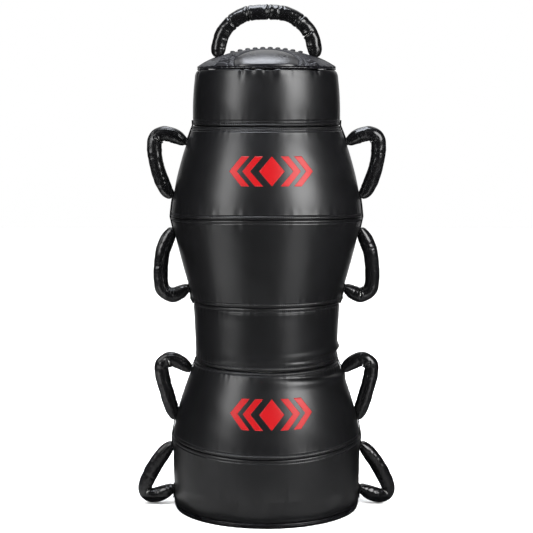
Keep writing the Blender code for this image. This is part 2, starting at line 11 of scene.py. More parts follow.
import bmesh
import bpy
import numpy as np
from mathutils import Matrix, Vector


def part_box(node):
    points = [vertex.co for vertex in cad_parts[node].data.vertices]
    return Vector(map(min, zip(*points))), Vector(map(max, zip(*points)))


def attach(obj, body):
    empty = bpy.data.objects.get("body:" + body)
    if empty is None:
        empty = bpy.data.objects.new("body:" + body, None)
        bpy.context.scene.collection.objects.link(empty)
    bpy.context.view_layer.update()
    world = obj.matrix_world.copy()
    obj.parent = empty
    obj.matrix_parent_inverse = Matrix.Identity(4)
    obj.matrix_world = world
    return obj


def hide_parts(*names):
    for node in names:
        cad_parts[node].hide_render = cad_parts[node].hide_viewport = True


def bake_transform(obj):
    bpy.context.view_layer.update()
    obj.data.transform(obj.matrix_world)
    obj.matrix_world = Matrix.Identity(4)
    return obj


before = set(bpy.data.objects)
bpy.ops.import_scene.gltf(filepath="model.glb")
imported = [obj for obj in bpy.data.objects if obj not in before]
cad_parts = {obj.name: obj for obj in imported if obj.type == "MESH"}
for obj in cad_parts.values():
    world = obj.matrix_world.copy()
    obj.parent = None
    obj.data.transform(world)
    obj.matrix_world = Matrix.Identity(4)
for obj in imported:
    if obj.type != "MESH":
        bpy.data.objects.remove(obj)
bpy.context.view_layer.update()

# %% [markdown]
# ## The camera
#
# The seams of the bag are circles, and a circle seen from above or below is an ellipse. How flat
# each ellipse looks gives the height of the lens, and how they change up the bag gives the
# distance. A long lens from 3.5 m, a little above the middle and tipped down, fits all of them.

# %% Place the camera
FRAME_PIXELS = 533
FOCAL_PIXELS = 1450
SENSOR = 36.0
CAMERA_PLACE = (0.0, -3.4575, 0.9615)
CAMERA_TIP = math.radians(6.277)


def linked(name, data):
    """A new object that holds this data, linked into the scene."""
    made = bpy.data.objects.new(name, data)
    bpy.context.scene.collection.objects.link(made)
    return made


lens = bpy.data.cameras.new("camera")
lens.lens = SENSOR * FOCAL_PIXELS / FRAME_PIXELS
lens.sensor_width = SENSOR
lens.clip_end = 50.0
camera = linked("camera", lens)
camera.location = CAMERA_PLACE
camera.rotation_euler = (math.pi / 2 - CAMERA_TIP, 0.0, 0.0)
bpy.context.scene.camera = camera
print("lens", round(lens.lens, 1), "mm")

# %% [markdown]
# ## Materials from nodes
#
# A material is a small graph. One function adds a node, sets it up and joins it to the others, so
# the graph of each material reads as a list. Colours are given as sRGB hex values, and shaders
# work in linear light, so one function turns the first into the second.

# %% Node and colour helpers
MM = 0.001


def linear(code):
    """An sRGB hex value as linear RGBA: the dark end is a straight line, the rest a 2.4 power."""
    shares = np.array([int(code[i:i + 2], 16) / 255 for i in (1, 3, 5)])
    bent = np.where(shares <= 0.04045, shares / 12.92, ((shares + 0.055) / 1.055) ** 2.4)
    return (*bent.tolist(), 1.0)


def add(tree, kind, inputs=None, **settings):
    """Adds a node of a kind with its settings, and fills its inputs with values or other sockets."""
    made = tree.nodes.new(kind)
    for key, value in settings.items():
        setattr(made, key, value)
    for key, value in (inputs or {}).items():
        if isinstance(value, bpy.types.NodeSocket):
            tree.links.new(value, made.inputs[key])
        else:
            made.inputs[key].default_value = value
    return made


def new_material(name, colour, roughness, **sockets):
    """A material with its shader's constants set, and the tree and shader to build on."""
    made = bpy.data.materials.new(name)
    made.use_nodes = True
    shader = made.node_tree.nodes["Principled BSDF"]
    shader.inputs["Base Color"].default_value = linear(colour)
    shader.inputs["Roughness"].default_value = roughness
    for key, value in sockets.items():
        shader.inputs[key.replace("_", " ")].default_value = value
    made.diffuse_color = linear(colour)
    return made, made.node_tree, shader


def first_output(node, kind):
    """A node's first output of a kind, where outputs of several kinds share a name."""
    return [socket for socket in node.outputs if socket.type == kind][0]


print("#808080 is", round(linear("#808080")[0], 3), "in linear light")

# %% [markdown]
# ## Coated cloth
#
# The skin is polyurethane-coated cloth: a woven backing with a film embossed from a leather
# pattern. The film is what the eye sees, dark, evenly satin and full of shallow cells about a
# millimetre across. Voronoi cells give the embossing, a slow noise makes some of it duller, as
# handling does, and both are in real millimetres.

# %% Coated cloth for the skin and for the grips
GRAIN = 1.3 * MM
SCUFF = 45 * MM
FILM = 0.12 * MM


def coated_cloth(name, dark, light, rough, gloss_spread, relief, **sockets):
    """An embossed film: cells for the grain, wider noise for where it is rubbed dull."""
    made, tree, shader = new_material(name, dark, rough, **sockets)
    place = add(tree, "ShaderNodeTexCoord").outputs["Object"]
    cells = add(tree, "ShaderNodeTexVoronoi", {"Vector": place, "Scale": 1 / GRAIN})
    fine = add(tree, "ShaderNodeTexNoise", {"Vector": place, "Scale": 1 / (0.45 * GRAIN), "Detail": 2.0})
    scuffs = add(tree, "ShaderNodeTexNoise", {"Vector": place, "Scale": 1 / SCUFF, "Detail": 1.5})
    rubbed = scuffs.outputs["Fac"]
    shades = {"Factor": rubbed, "A": linear(dark), "B": linear(light)}
    tint = add(tree, "ShaderNodeMix", shades, data_type="RGBA")
    gloss = add(tree, "ShaderNodeMapRange", {
        "Value": rubbed, "From Min": 0.3, "From Max": 0.7,
        "To Min": rough - gloss_spread, "To Max": rough + gloss_spread,
    })
    heights = {0: cells.outputs["Distance"], 1: fine.outputs["Fac"]}
    height = add(tree, "ShaderNodeMath", heights, operation="ADD").outputs["Value"]
    bump = add(tree, "ShaderNodeBump", {"Height": height, "Strength": relief, "Distance": FILM})
    tree.links.new(first_output(tint, "RGBA"), shader.inputs["Base Color"])
    tree.links.new(gloss.outputs["Result"], shader.inputs["Roughness"])
    tree.links.new(bump.outputs["Normal"], shader.inputs["Normal"])
    return made


# The body's cloth is satin, the crown's a little smoother, and the sleeves' thin film is glossy.
skin_cloth = coated_cloth("coated_cloth_satin", "#0a0a0b", "#0f0f11", 0.34, 0.015, 0.25, IOR=1.5)
crown_cloth = coated_cloth("coated_cloth_crown", "#0c0c0f", "#121216", 0.29, 0.02, 0.4, IOR=1.5)
grip_cloth = coated_cloth("coated_cloth_glossy", "#09090a", "#0e0e0f", 0.21, 0.025, 0.04, IOR=1.5)
print("grain", GRAIN / MM, "mm, scuffs", SCUFF / MM, "mm")

# %% [markdown]
# ## Webbing, cord and thread
#
# Webbing is woven polyester with a rib across it every 1.6 mm. Its UV map is laid out in metres,
# so that the ribs follow the strap round the bag. The lace is a braid, whose strands cross at 45
# degrees. Thread is bonded polyester with a slight shine.

# %% Webbing, braid and thread
RIB = 1.6 * MM


def ribbed(name, colour, light, roughness, across, along, depth):
    """Two crossed sine waves on the UV map, multiplied: each rib is broken into threads."""
    made, tree, shader = new_material(name, colour, roughness, Specular_IOR_Level=0.25)
    split = add(tree, "ShaderNodeSeparateXYZ", {0: add(tree, "ShaderNodeTexCoord").outputs["UV"]})
    waves = []
    for axis, pitch in (("X", across), ("Y", along)):
        if pitch:
            rate = {0: split.outputs[axis], 1: 2 * math.pi / pitch}
            turn = add(tree, "ShaderNodeMath", rate, operation="MULTIPLY")
            wave = add(tree, "ShaderNodeMath", {0: turn.outputs["Value"]}, operation="SINE")
            waves.append(wave.outputs["Value"])
    crossed = {0: waves[0], 1: waves[-1] if across else 1.0}
    weave = add(tree, "ShaderNodeMath", crossed, operation="MULTIPLY").outputs["Value"]
    span = {"Value": weave, "From Min": -1.0, "From Max": 1.0}
    share = add(tree, "ShaderNodeMapRange", span).outputs["Result"]
    shades = {"Factor": share, "A": linear(colour), "B": linear(light)}
    tint = add(tree, "ShaderNodeMix", shades, data_type="RGBA")
    bump = add(tree, "ShaderNodeBump", {"Height": share, "Strength": 0.8, "Distance": depth})
    tree.links.new(first_output(tint, "RGBA"), shader.inputs["Base Color"])
    tree.links.new(bump.outputs["Normal"], shader.inputs["Normal"])
    return made


# Webbing is dull and ribbed, the braid a little lighter, and the twill shows fine slanting lines.
webbing = ribbed("polyester_webbing", "#09090a", "#131315", 0.72, 2 * RIB, RIB, 0.3 * MM)
braid = ribbed("braided_cord", "#101012", "#222225", 0.5, 2.4 * MM, 2.4 * MM, 0.3 * MM)
twill = ribbed("coated_twill", "#121215", "#242428", 0.44, 0.0, 1.9 * MM, 0.3 * MM)
thread = new_material("bonded_thread", "#17171a", 0.42)[0]
blackened = new_material("blackened_brass", "#17171a", 0.32, Metallic=1.0)[0]
print("materials", len(bpy.data.materials))

# %% [markdown]
# ## Surfaces from arrays
#
# Every piece below is a function of two parameters, worked out for a whole grid of points at
# once. This cell turns such a grid into a mesh. A grid may wrap round in one or both directions,
# and a tube's open ends are closed with a fan of triangles. The signed volume of the result says
# whether its faces point outwards, and if it is negative they are all turned round.

# %% Grid to mesh


def grid_faces(rows, columns, wrap_rows, wrap_columns):
    """Corner numbers of each quad: a point, its neighbour, and the two of the next row."""
    last_row, last_column = rows - (not wrap_rows), columns - (not wrap_columns)
    i, j = np.meshgrid(np.arange(last_row), np.arange(last_column), indexing="ij")
    row, next_row, on = i * columns, (i + 1) % rows * columns, (j + 1) % columns
    return np.stack([row + j, row + on, next_row + on, next_row + j], -1).reshape(-1, 4)


def signed_volume(points, faces):
    """A sixth of the sum of each triangle's triple product, with each quad cut into two triangles."""
    corners = np.concatenate([faces[:, [0, 1, 2]], faces[:, [0, 2, 3]]])
    a, b, c = (points[corners[:, k]] for k in range(3))
    return np.einsum("ij,ij->i", a, np.cross(b, c)).sum() / 6


def to_mesh(name, points, faces, finish, uv=None):
    """A linked object of these points and quads, turned outwards, with its finish on.

    A quad whose last two corners are the same is a triangle. uv holds a pair for each corner.
    """
    if signed_volume(points, faces) < 0:
        faces = faces[:, ::-1]
        uv = None if uv is None else uv[:, ::-1]
    same = faces[:, -1] == faces[:, -2]
    mesh = bpy.data.meshes.new(name)
    mesh.from_pydata(points.tolist(), [], [f[:3] if s else f for f, s in zip(faces.tolist(), same)])
    if uv is not None:
        keep = np.ones(uv.shape[:2], bool)
        keep[same, 3] = False
        mesh.uv_layers.new(name="laid_out").data.foreach_set("uv", uv[keep].ravel().astype(np.float32))
    mesh.shade_smooth()
    mesh.materials.append(finish)
    return linked(name, mesh)


def tube_surface(name, points, finish, uv=None):
    """A tube of rings (rows, columns, 3), each ring closed, with a point in the middle of both ends."""
    rows, columns = points.shape[:2]
    faces = grid_faces(rows, columns, False, True)
    flat = points.reshape(-1, 3)
    ends = np.array([points[0].mean(0), points[-1].mean(0)])
    j = np.arange(columns)
    on, foot, head = (j + 1) % columns, np.full(columns, len(flat)), np.full(columns, len(flat) + 1)
    top = (rows - 1) * columns
    first, last = np.stack([on, j, foot, foot], -1), np.stack([top + j, top + on, head, head], -1)
    spread = None
    if uv is not None:
        own = uv.reshape(-1, 2)[grid_faces(rows, columns + 1, False, False)]
        cap = np.repeat(uv[:1, :1].reshape(1, 1, 2), columns, 0).repeat(4, 1)
        spread = np.concatenate([own, cap, cap])
    return to_mesh(name, np.concatenate([flat, ends]), np.concatenate([faces, first, last]), finish, spread)


print("a ring of 12 by 8 points has", len(grid_faces(12, 8, True, True)), "faces")

# %% [markdown]
# ## The skin's profile
#
# Six panels are sewn edge to edge between the base and the crown, and each bellies a little
# between its seams. The profile is a radius for every height, so a point of the skin is named by
# its direction round the bag, 0 at the front and growing to the right, and its height.

# %% Profile of the skin
SEAM_HEIGHTS = np.array([0.0115, 0.1648, 0.3568, 0.5018, 0.7018, 0.9188, 1.0478])
SEAM_RADII = np.array([0.2232, 0.2265, 0.1700, 0.1760, 0.2280, 0.1735, 0.1665])
BELLIES = np.array([0.0005, 0.0070, -0.0010, 0.0020, 0.0085, 0.0035])
PANELS = ("drum_panel", "cone_panel", "waist_panel", "belly_panel", "shoulder_panel", "head_panel")
WALL = 5.2 * MM
# A filled bag's seams are not quite flat circles: each is lifted so many mm in front and at the flanks.
FRONT_LIFT = np.array([0.0, -2.7, -2.2, 2.2, 8.9, -1.3, 0.0])
FLANK_LIFT = np.array([0.0, 9.8, 0.8, 0.0, 1.0, -0.8, 0.0])
ROUNDED, ROUND_REACH = 5.0 * MM, 3.4 * MM


def skin_radius(height):
    """Between two seams a straight line plus a parabola, zero at both, less a round shoulder at the rim."""
    k = np.clip(np.searchsorted(SEAM_HEIGHTS, height) - 1, 0, 5)
    share = (height - SEAM_HEIGHTS[k]) / (SEAM_HEIGHTS[k + 1] - SEAM_HEIGHTS[k])
    share = np.clip(share, -0.1, 1.1)
    low, high = SEAM_RADII[k], SEAM_RADII[k + 1]
    shoulder = ROUNDED * np.clip(1 - (SEAM_HEIGHTS[6] - height) / ROUND_REACH, 0, 1.2) ** 2
    return low + (high - low) * share + BELLIES[k] * 4 * share * (1 - share) - shoulder


def seam_lift(azimuth, height):
    """The seams' lift, straight between them, mixed by the direction's cosine and sine squared."""
    front, flank = (np.interp(height, SEAM_HEIGHTS, lift) for lift in (FRONT_LIFT, FLANK_LIFT))
    return (front * np.cos(azimuth) ** 2 + flank * np.sin(azimuth) ** 2) * MM


def skin_slope(height, step=0.0005):
    """How fast the radius grows with height, by differences that don't cross a seam."""
    k = np.clip(np.searchsorted(SEAM_HEIGHTS, height) - 1, 0, 5)
    low = np.maximum(height - step, SEAM_HEIGHTS[k] + 1e-6)
    high = np.minimum(height + step, SEAM_HEIGHTS[k + 1] - 1e-6)
    return (skin_radius(high) - skin_radius(low)) / (high - low)


print("girths", (SEAM_RADII * 2 * np.pi).round(2), "m")

# %% [markdown]
# ## What sewing and weight do to the cloth
#
# A lapped seam has a dark line where the panels meet, and a row of stitches 9 mm to each side that
# pulls the cloth down, so it swells up between them. The neck's seam has two rows a side. The lower
# panel comes out from under the upper one. Sewing also gathers the cloth a little, which shows as
# short puckers across each seam and as pleats under the rim. The heavy filling has settled, so the
# waist has folded over itself on one side. All of these are heights in millimetres added to the
# profile along its normal. First come the seams with their stitches and the pleats.

# %% Seams, stitches and pleats
ROWS = ((), (9.0,), (9.0,), (9.0,), (9.0,), (6.6, 12.4), ())
STITCH = 4.6 * MM


def stitches_round(seam):
    """How many stitches fit round a seam."""
    return int(round(2 * math.pi * SEAM_RADII[seam] / STITCH))


def bell(x, width):
    """A smooth bump of height 1: the exponential of minus x over width, squared."""
    return np.exp(-((x / width) ** 2))


def ripple(azimuth, seed, slowest, fastest, count):
    """A smooth random wave round the bag: cosines of whole numbers of turns, with seeded phases."""
    draw = np.random.default_rng(seed)
    turns = draw.integers(slowest, fastest, count)
    phases = draw.uniform(0, 2 * np.pi, count)
    return sum(np.cos(n * azimuth + p) for n, p in zip(turns, phases)) / math.sqrt(count)


def lap(away, rows):
    """Across a seam: a groove at 0, a swelling, a thin groove at each stitched row, a swelling beyond."""
    x = np.abs(away)
    total = -2.6 * bell(x, 1.0) + 1.2 * bell(x - 0.5 * rows[0], 0.3 * rows[0])
    total = total + 0.15 * bell(x - rows[-1] - 6, 4.5)
    for row in rows:
        total = total - 1.5 * bell(x - row, 1.0) + 0.3 * bell(x - row - 2.4, 1.6)
    return total


# Under each seam: how deep the lower panel starts, how far its ramp runs and how far it swells, in mm.
TUCKS = ((), (2.4, 9.5, 0.3), (2.8, 9.5, 0.0), (4.2, 17.0, 0.9), (4.2, 9.8, 0.3), (2.2, 7.0, 0.2), ())


def tuck(below, depth, reach, swell):
    """Under a seam the lower panel comes out from beneath the upper on a straight ramp, then swells."""
    ramp = depth * np.clip(1 - below / reach, 0, 1)
    return (below > 0) * (swell * bell(below - 1.6 * reach, 0.7 * reach) - ramp)


def furrows(azimuth, seam, away):
    """Between a seam and its rows, one shallow valley for each stitch, so a cosine of that many turns."""
    turns, row = stitches_round(seam), ROWS[seam][0]
    reach = bell(np.abs(away) - 0.8 * row, 2.6) * (np.abs(away) < row + 3)
    return -0.27 * np.cos(turns * azimuth) * reach * (1 + 0.4 * ripple(azimuth, 40 + seam, 8, 30, 6))


def pleats(azimuth, drop):
    """Under the rim, soft valleys at seeded places, each with its own depth, width and length."""
    draw = np.random.default_rng(7)
    total = np.zeros(np.broadcast(azimuth, drop).shape)
    for place in draw.uniform(-np.pi, np.pi, 34):
        depth, width, length = draw.uniform(0.5, 2.0), draw.uniform(4.5, 8.5), draw.uniform(9, 20)
        arc = (np.mod(azimuth - place + np.pi, 2 * np.pi) - np.pi) * 167
        reach = bell(drop - 2, length)
        total += depth * (-bell(arc, width) + 0.3 * bell(arc - 2.0 * width, 1.5 * width)) * reach
    return total


print("stitches round each seam", [stitches_round(k) for k in range(1, 6)])

# %% [markdown]
# The folds of the waist come from a table. Then everything is added up. At the flanks the belly
# bulges over the strap under it, and the cloth is drawn in below the rim. A point of the skin moves
# along the profile's normal by that sum. Near a seam both panels use the mean of the two slopes,
# so that their edges don't part.

# %% Folds and relief of the skin
# Each fold: middle (degrees round, height in mm), half reach (degrees), rise in mm a radian,
# how far it stands out in mm and its width in mm, negative where the valley is above the ridge.
FOLDS = (
    (80, 390, 66, 3, 5.2, 7.0),
    (66, 369, 56, -5, 2.2, 4.0),
    (-30, 376, 50, 5, 0.9, 6.0),
    (68, 322, 50, -10, 5.4, -9.0),
    (-150, 384, 48, 8, 2.0, 6.0),
    (168, 340, 40, -14, 2.6, 9.0),
)


def folds(azimuth, height):
    """Each fold is a ridge with a sharper valley under it, along a sloping line round the bag."""
    total = np.zeros(np.broadcast(azimuth, height).shape)
    for middle, level, reach, rise, out, width in FOLDS:
        turn = np.mod(azimuth - math.radians(middle) + np.pi, 2 * np.pi) - np.pi
        x = height / MM - level - rise * turn
        ridge = bell(x, width) - 0.7 * bell(x + 1.35 * width, 0.5 * width)
        total += out * ridge * bell(turn, math.radians(reach))
    return total


# In mm, so that a groove stays within the panel's wall of 5.2 mm.
DEEPEST = -4.7


def relief(azimuth, height, seams=True):
    """The sum of all that happens to the cloth, in metres, never deeper than the wall allows."""
    slope = np.hypot(1, skin_slope(height))
    total = 0.35 * ripple(azimuth, 3, 2, 9, 6) + 0.10 * ripple(azimuth + height * 9, 5, 5, 16, 6)
    for k, seam in enumerate(SEAM_HEIGHTS if seams else ()):
        away = (height - seam) * slope / MM
        if 0 < k < 6:
            tucked = np.cos(azimuth) ** 2 * tuck(-away, *TUCKS[k])
            total = total + lap(away, ROWS[k]) + tucked + furrows(azimuth, k, away)
            total = total + 0.2 * ripple(azimuth, 20 + k, 24, 90, 12) * bell(np.abs(away) - 13, 12)
        elif k == 0:
            total = total - 1.6 * bell(away, 1.6) + 0.9 * bell(away - 5, 3.5)
    belly_lip = (height - SEAM_HEIGHTS[3]) * slope / MM
    total = total + np.sin(azimuth) ** 8 * (2.4 * bell(belly_lip - 6, 5) - 1.6 * bell(belly_lip + 8, 5))
    drop = (SEAM_HEIGHTS[6] - height) / MM
    if seams:
        total = total + pleats(azimuth, drop) + 0.4 * bell(drop - 12, 7) - 0.8 * bell(drop, 2.0)
    slack = np.clip(1 - drop / 17, 0, 1) ** 2 - np.clip(1 - drop / 3.4, 0, 1) ** 2
    total = total - 3.4 * np.sin(azimuth) ** 4 * slack + folds(azimuth, height)
    return np.maximum(total, DEEPEST) * MM


def eased_slope(height):
    """The slope, eased near a seam to the mean of both sides, so that both edges move along one line."""
    slope = skin_slope(height)
    for seam in SEAM_HEIGHTS[1:-1]:
        both = skin_slope(seam + np.array([-0.0002, 0.0002])).mean()
        slope = slope + (both - slope) * bell((height - seam) / MM, 3.0)
    return slope


def skin_point(azimuth, height, lift=0.0, seams=True):
    """The skin at a direction and height, moved outwards along its normal by relief and lift."""
    azimuth, height = np.broadcast_arrays(azimuth, height)
    slope = eased_slope(height)
    out = (relief(azimuth, height, seams) + lift) / np.hypot(1, slope)
    radius, level = skin_radius(height) + out, height - slope * out + seam_lift(azimuth, height)
    return np.stack([radius * np.sin(azimuth), -radius * np.cos(azimuth), level], -1)


print("at 0.8 m in front the skin is", round(float(-skin_point(0.0, 0.8)[1]), 4), "m from the axis")

# %% [markdown]
# ## The panels
#
# Each panel is a closed shell: up the outside, over the top edge, down a plain inside and back.
# Within 13 mm of a seam, where every stitch dents the cloth, its points are 1 mm apart both ways.
# In between they are 3 mm apart round the bag, so three fine columns meet one coarse one in a row
# of two triangles and a quad, and the rows spread out to 5 mm. Density adds up along a line, so
# those rows are read off the running total of one over the spacing.

# %% Sew the six panels
COLUMNS = 480
AROUND = np.linspace(0, 2 * np.pi, COLUMNS, endpoint=False)
AROUND_FINE = np.linspace(0, 2 * np.pi, 3 * COLUMNS, endpoint=False)
SEAM_ZONE = 13.0 * MM


def rows_between(low, high, fine=1.8, coarse=5.0, zone=14.0):
    """Heights whose spacing grows from fine at both ends to coarse, zone millimetres in."""
    line = np.linspace(low, high, 2000)
    near = np.minimum(line - low, high - line) / MM
    spacing = fine + (coarse - fine) * np.clip(near / zone, 0, 1) ** 1.5
    total = np.concatenate([[0], np.cumsum(1 / spacing[1:])]) * (high - low) / MM / 1999
    count = int(round(total[-1]))
    return np.interp(np.linspace(0, total[-1], count + 1), total, line)


def three_to_one(below, above, fine_below):
    """Faces between a row of n points and a row of 3n, given the first point of each row."""
    i = np.arange(COLUMNS)
    coarse, fine = (above, below) if fine_below else (below, above)
    a, b = coarse + i, coarse + (i + 1) % COLUMNS
    f0, f1, f2, f3 = (fine + (3 * i + k) % (3 * COLUMNS) for k in range(4))
    if fine_below:
        sets = ((f0, f1, a, a), (f1, f2, b, a), (f2, f3, b, b))
    else:
        sets = ((a, f1, f0, f0), (a, b, f2, f1), (b, f3, f2, f2))
    return np.concatenate([np.stack(corners, -1) for corners in sets])


def joined_rings(blocks):
    """Blocks of rings, coarse and fine by turns, joined one to the next and the last to the first."""
    starts = np.cumsum([0] + [b.shape[0] * b.shape[1] for b in blocks[:-1]])
    faces = []
    for number, (block, start) in enumerate(zip(blocks, starts)):
        rows, columns = block.shape[:2]
        faces.append(grid_faces(rows, columns, False, True) + start)
        last_row = start + (rows - 1) * columns
        faces.append(three_to_one(last_row, starts[(number + 1) % len(blocks)], columns > COLUMNS))
    return np.concatenate([b.reshape(-1, 3) for b in blocks]), np.concatenate(faces)


def sew_panel(name, low, high):
    """Fine rows, coarse rows, fine rows up the outside, then coarse rows down one wall inside."""
    fine = np.linspace(0, SEAM_ZONE, 14)
    bottom, top = (low + fine)[:, None], (high - fine[::-1])[:, None]
    middle = rows_between(bottom[-1, 0] + 1.4 * MM, top[0, 0] - 1.4 * MM)[:, None]
    levels = np.linspace(high, low, 9)[:, None]
    inner = skin_radius(levels) - WALL * np.hypot(1, skin_slope(levels))
    lifted = levels + seam_lift(AROUND, levels)
    inside = np.broadcast_arrays(inner * np.sin(AROUND), -inner * np.cos(AROUND), lifted)
    points, faces = joined_rings((
        skin_point(AROUND_FINE[None, :], bottom),
        skin_point(AROUND[None, :], middle),
        skin_point(AROUND_FINE[None, :], top),
        np.stack(inside, -1),
    ))
    made = to_mesh(name + "_sewn", points, faces, skin_cloth)
    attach(made, "root")
    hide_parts(name)
    return len(made.data.polygons)


for number, panel in enumerate(PANELS):
    size = sew_panel(panel, SEAM_HEIGHTS[number] + 0.15 * MM, SEAM_HEIGHTS[number + 1] - 0.15 * MM)
    print(panel, size, "faces")

# %% [markdown]
# ## The base and the piping
#
# The base is a disc of the same cloth whose edge turns up to meet the drum. Both it and the thin
# piping in its seam are profiles turned about the axis. A turned profile that reaches the axis has
# all of its points there in one place, so those are merged.

# %% Turn the base and the pipings


def merged(made):
    """Merges points that lie in one place, so that poles are closed."""
    work = bmesh.new()
    work.from_mesh(made.data)
    bmesh.ops.remove_doubles(work, verts=work.verts, dist=0.00001)
    bmesh.ops.dissolve_degenerate(work, edges=work.edges, dist=0.000001)
    work.to_mesh(made.data)
    work.free()
    return made


def turned(name, radii, heights, finish):
    """A closed outline turned about the axis, one grid row for each of its points."""
    r, z, around = radii[:, None], heights[:, None], AROUND[None, :]
    points = np.stack(np.broadcast_arrays(r * np.sin(around), -r * np.cos(around), z), -1)
    return merged(to_mesh(name, points.reshape(-1, 3), grid_faces(*points.shape[:2], True, True), finish))


FOOT, TURN_UP, BASE_WALL = 0.2205, 0.0070, 0.003
quarter = np.linspace(0, np.pi / 2, 12)
corner_r = FOOT + (SEAM_RADII[0] - 0.0012 - FOOT) * np.sin(quarter)
corner_z = TURN_UP * (1 - np.cos(quarter)) ** 1.1
flat_r = np.linspace(0, FOOT, 20)[:-1]
outer_r = np.concatenate([flat_r, corner_r])
outer_z = np.concatenate([flat_r * 0, corner_z])
inner_r = np.array([SEAM_RADII[0] - 0.0042, FOOT - 0.001, FOOT * 0.5, 0.0])
inner_z = np.array([TURN_UP, BASE_WALL, BASE_WALL, BASE_WALL])
base_r, base_z = np.concatenate([outer_r, inner_r]), np.concatenate([outer_z, inner_z])
base = turned("base_sewn", base_r, base_z, skin_cloth)
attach(base, "root")
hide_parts("base_panel")


print("base", len(base.data.polygons), "faces")


def piping(name, node, radius, height, thick):
    """A round cord in a seam, its radius and level wavering by a third of a millimetre."""
    turn = np.linspace(0, 2 * np.pi, 14, endpoint=False)[:, None]
    r = radius + thick * np.cos(turn) + 0.3 * MM * ripple(AROUND, 61, 20, 90, 8)[None, :]
    z = height + thick * np.sin(turn) + 0.25 * MM * ripple(AROUND, 62, 20, 90, 8)[None, :]
    points = np.stack([r * np.sin(AROUND), -r * np.cos(AROUND), z + 0 * r], -1)
    made = to_mesh(name, points.reshape(-1, 3), grid_faces(*points.shape[:2], True, True), crown_cloth)
    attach(made, "root")
    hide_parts(node)


PIPE = 2.1 * MM
RIM, RIM_RADIUS = SEAM_HEIGHTS[6], SEAM_RADII[6] - ROUNDED
piping("base_piping_cord", "base_piping", SEAM_RADII[0] - 1.5 * MM, TURN_UP + 2.4 * MM, PIPE)
piping("crown_piping_cord", "crown_piping", RIM_RADIUS + 0.2 * MM, RIM + 2.4 * MM, PIPE)
print("pipings", round(2 * PIPE / MM, 1), "mm thick")

# %% [markdown]
# ## The crown
#
# The crown is a shallow dome over the filling, in four pieces: a smooth half-moon at the front and
# one at the back, each inside a curved seam, and between them the two plackets that the lace
# draws together. The dome's height is a formula of the distance from the axis. The seams, the
# stitched bands beside them and the creases near the handle are relief on top of it.

# %% Relief of the crown
CROWN_EDGE = RIM + 4.8 * MM
CROWN_RISE = 43 * MM
SEAM_CENTRE, SEAM_RADIUS = 0.1286, 0.0736
SLIT = 4 * MM
HEM = 27.0
HALVES = (("front", -1), ("rear", 1))

# Each crease: from (x, y) to (x, y) in mm, its depth in mm and its width in mm.
CREASES = (
    (-114, -101, -82, -127, 9.5, 2.6), (-101, -106, -79, -120, 8.0, 2.6), (-90, -87, -70, -101, 8.0, 2.2),
    (-108, -84, -92, -92, 4.0, 2.4),
    (-118, -44, -78, -56, 3.0, 3.0), (-96, -28, -62, -40, 2.0, 3.0), (-132, -40, -116, -76, 1.6, 4.0),
    (95, -117, 117, -98, 9.0, 2.6), (84, -78, 104, -70, 5.0, 2.0), (70, -44, 92, -60, 1.6, 3.5),
    (-120, 66, -84, 88, 4.0, 3.5), (92, 92, 124, 70, 4.0, 3.4), (60, 52, 88, 70, 2.0, 3.6),
)


def dome(x, y):
    """A superellipse of revolution: 1 minus the share of the radius to a power, to another."""
    share = np.minimum(np.hypot(x, y) / RIM_RADIUS, 1.0)
    return CROWN_EDGE + CROWN_RISE * (1 - share**2) ** 0.88


def crown_relief(x, y):
    """Grooves and raised bands by distance from the curved seams and the slit, and the creases."""
    past = (np.hypot(x, np.abs(y) - SEAM_CENTRE) - SEAM_RADIUS) / MM
    slit = np.abs(y) / MM
    total = -3.8 * bell(past, 1.5) + 1.3 * bell(past - 5.5, 4.0) - 0.9 * bell(past - 4.2, 0.8)
    total += -1.4 * bell(past - 14, 1.2) + 1.3 * bell(past - 9, 4.0) + 3.2 * (1 - bell(past, 11)) * (past < 0)
    total += -0.9 * bell(slit - HEM, 1.2) + 0.8 * bell(slit - 0.8 * HEM, 4) * (past > 0)
    around = np.arctan2(x, -y)
    edge = (RIM_RADIUS - np.hypot(x, y)) / MM
    total += 0.8 * ripple(around, 71, 18, 60, 10) * bell(edge, 12) * (past > 4)
    for x0, y0, x1, y1, depth, width in CREASES:
        run = np.array([x1 - x0, y1 - y0])
        t = np.clip(((x / MM - x0) * run[0] + (y / MM - y0) * run[1]) / (run @ run), 0, 1)
        away = np.hypot(x / MM - x0 - t * run[0], y / MM - y0 - t * run[1])
        fade = np.sin(np.pi * np.clip(t * 0.9 + 0.05, 0, 1))
        total += fade * depth * (-bell(away, width) + 0.55 * bell(away - 2.2 * width, 1.5 * width))
    return np.maximum(total, -9.0) * MM * np.clip(edge / 2.5, 0.0, 1)


def dome_slopes(x, y, step):
    """How fast the dome rises along x and along y, by differences of a step to both sides."""
    rise_x = dome(x + step, y) - dome(x - step, y)
    rise_y = dome(x, y + step) - dome(x, y - step)
    return rise_x / (2 * step), rise_y / (2 * step)


def crown_point(x, y, lift=0.0):
    """The crown over a place on the floor, moved along its normal by relief and lift."""
    fx, fy = dome_slopes(x, y, 0.0006)
    size = np.sqrt(1 + fx**2 + fy**2)
    out = (crown_relief(x, y) + lift) / size
    return np.stack([x - fx * out, y - fy * out, dome(x, y) + out], -1)


print("the crown rises to", round(float(dome(0.0, 0.0)), 4), "m")

# %% [markdown]
# A half-moon is ruled: each row runs straight from a point of the curved seam to a point of the
# rim. A placket is ruled from the slit outwards to the rim or to the curved seam, whichever comes
# first. Rows crowd towards the rim, where the dome is steep. Solidify gives both their wall.

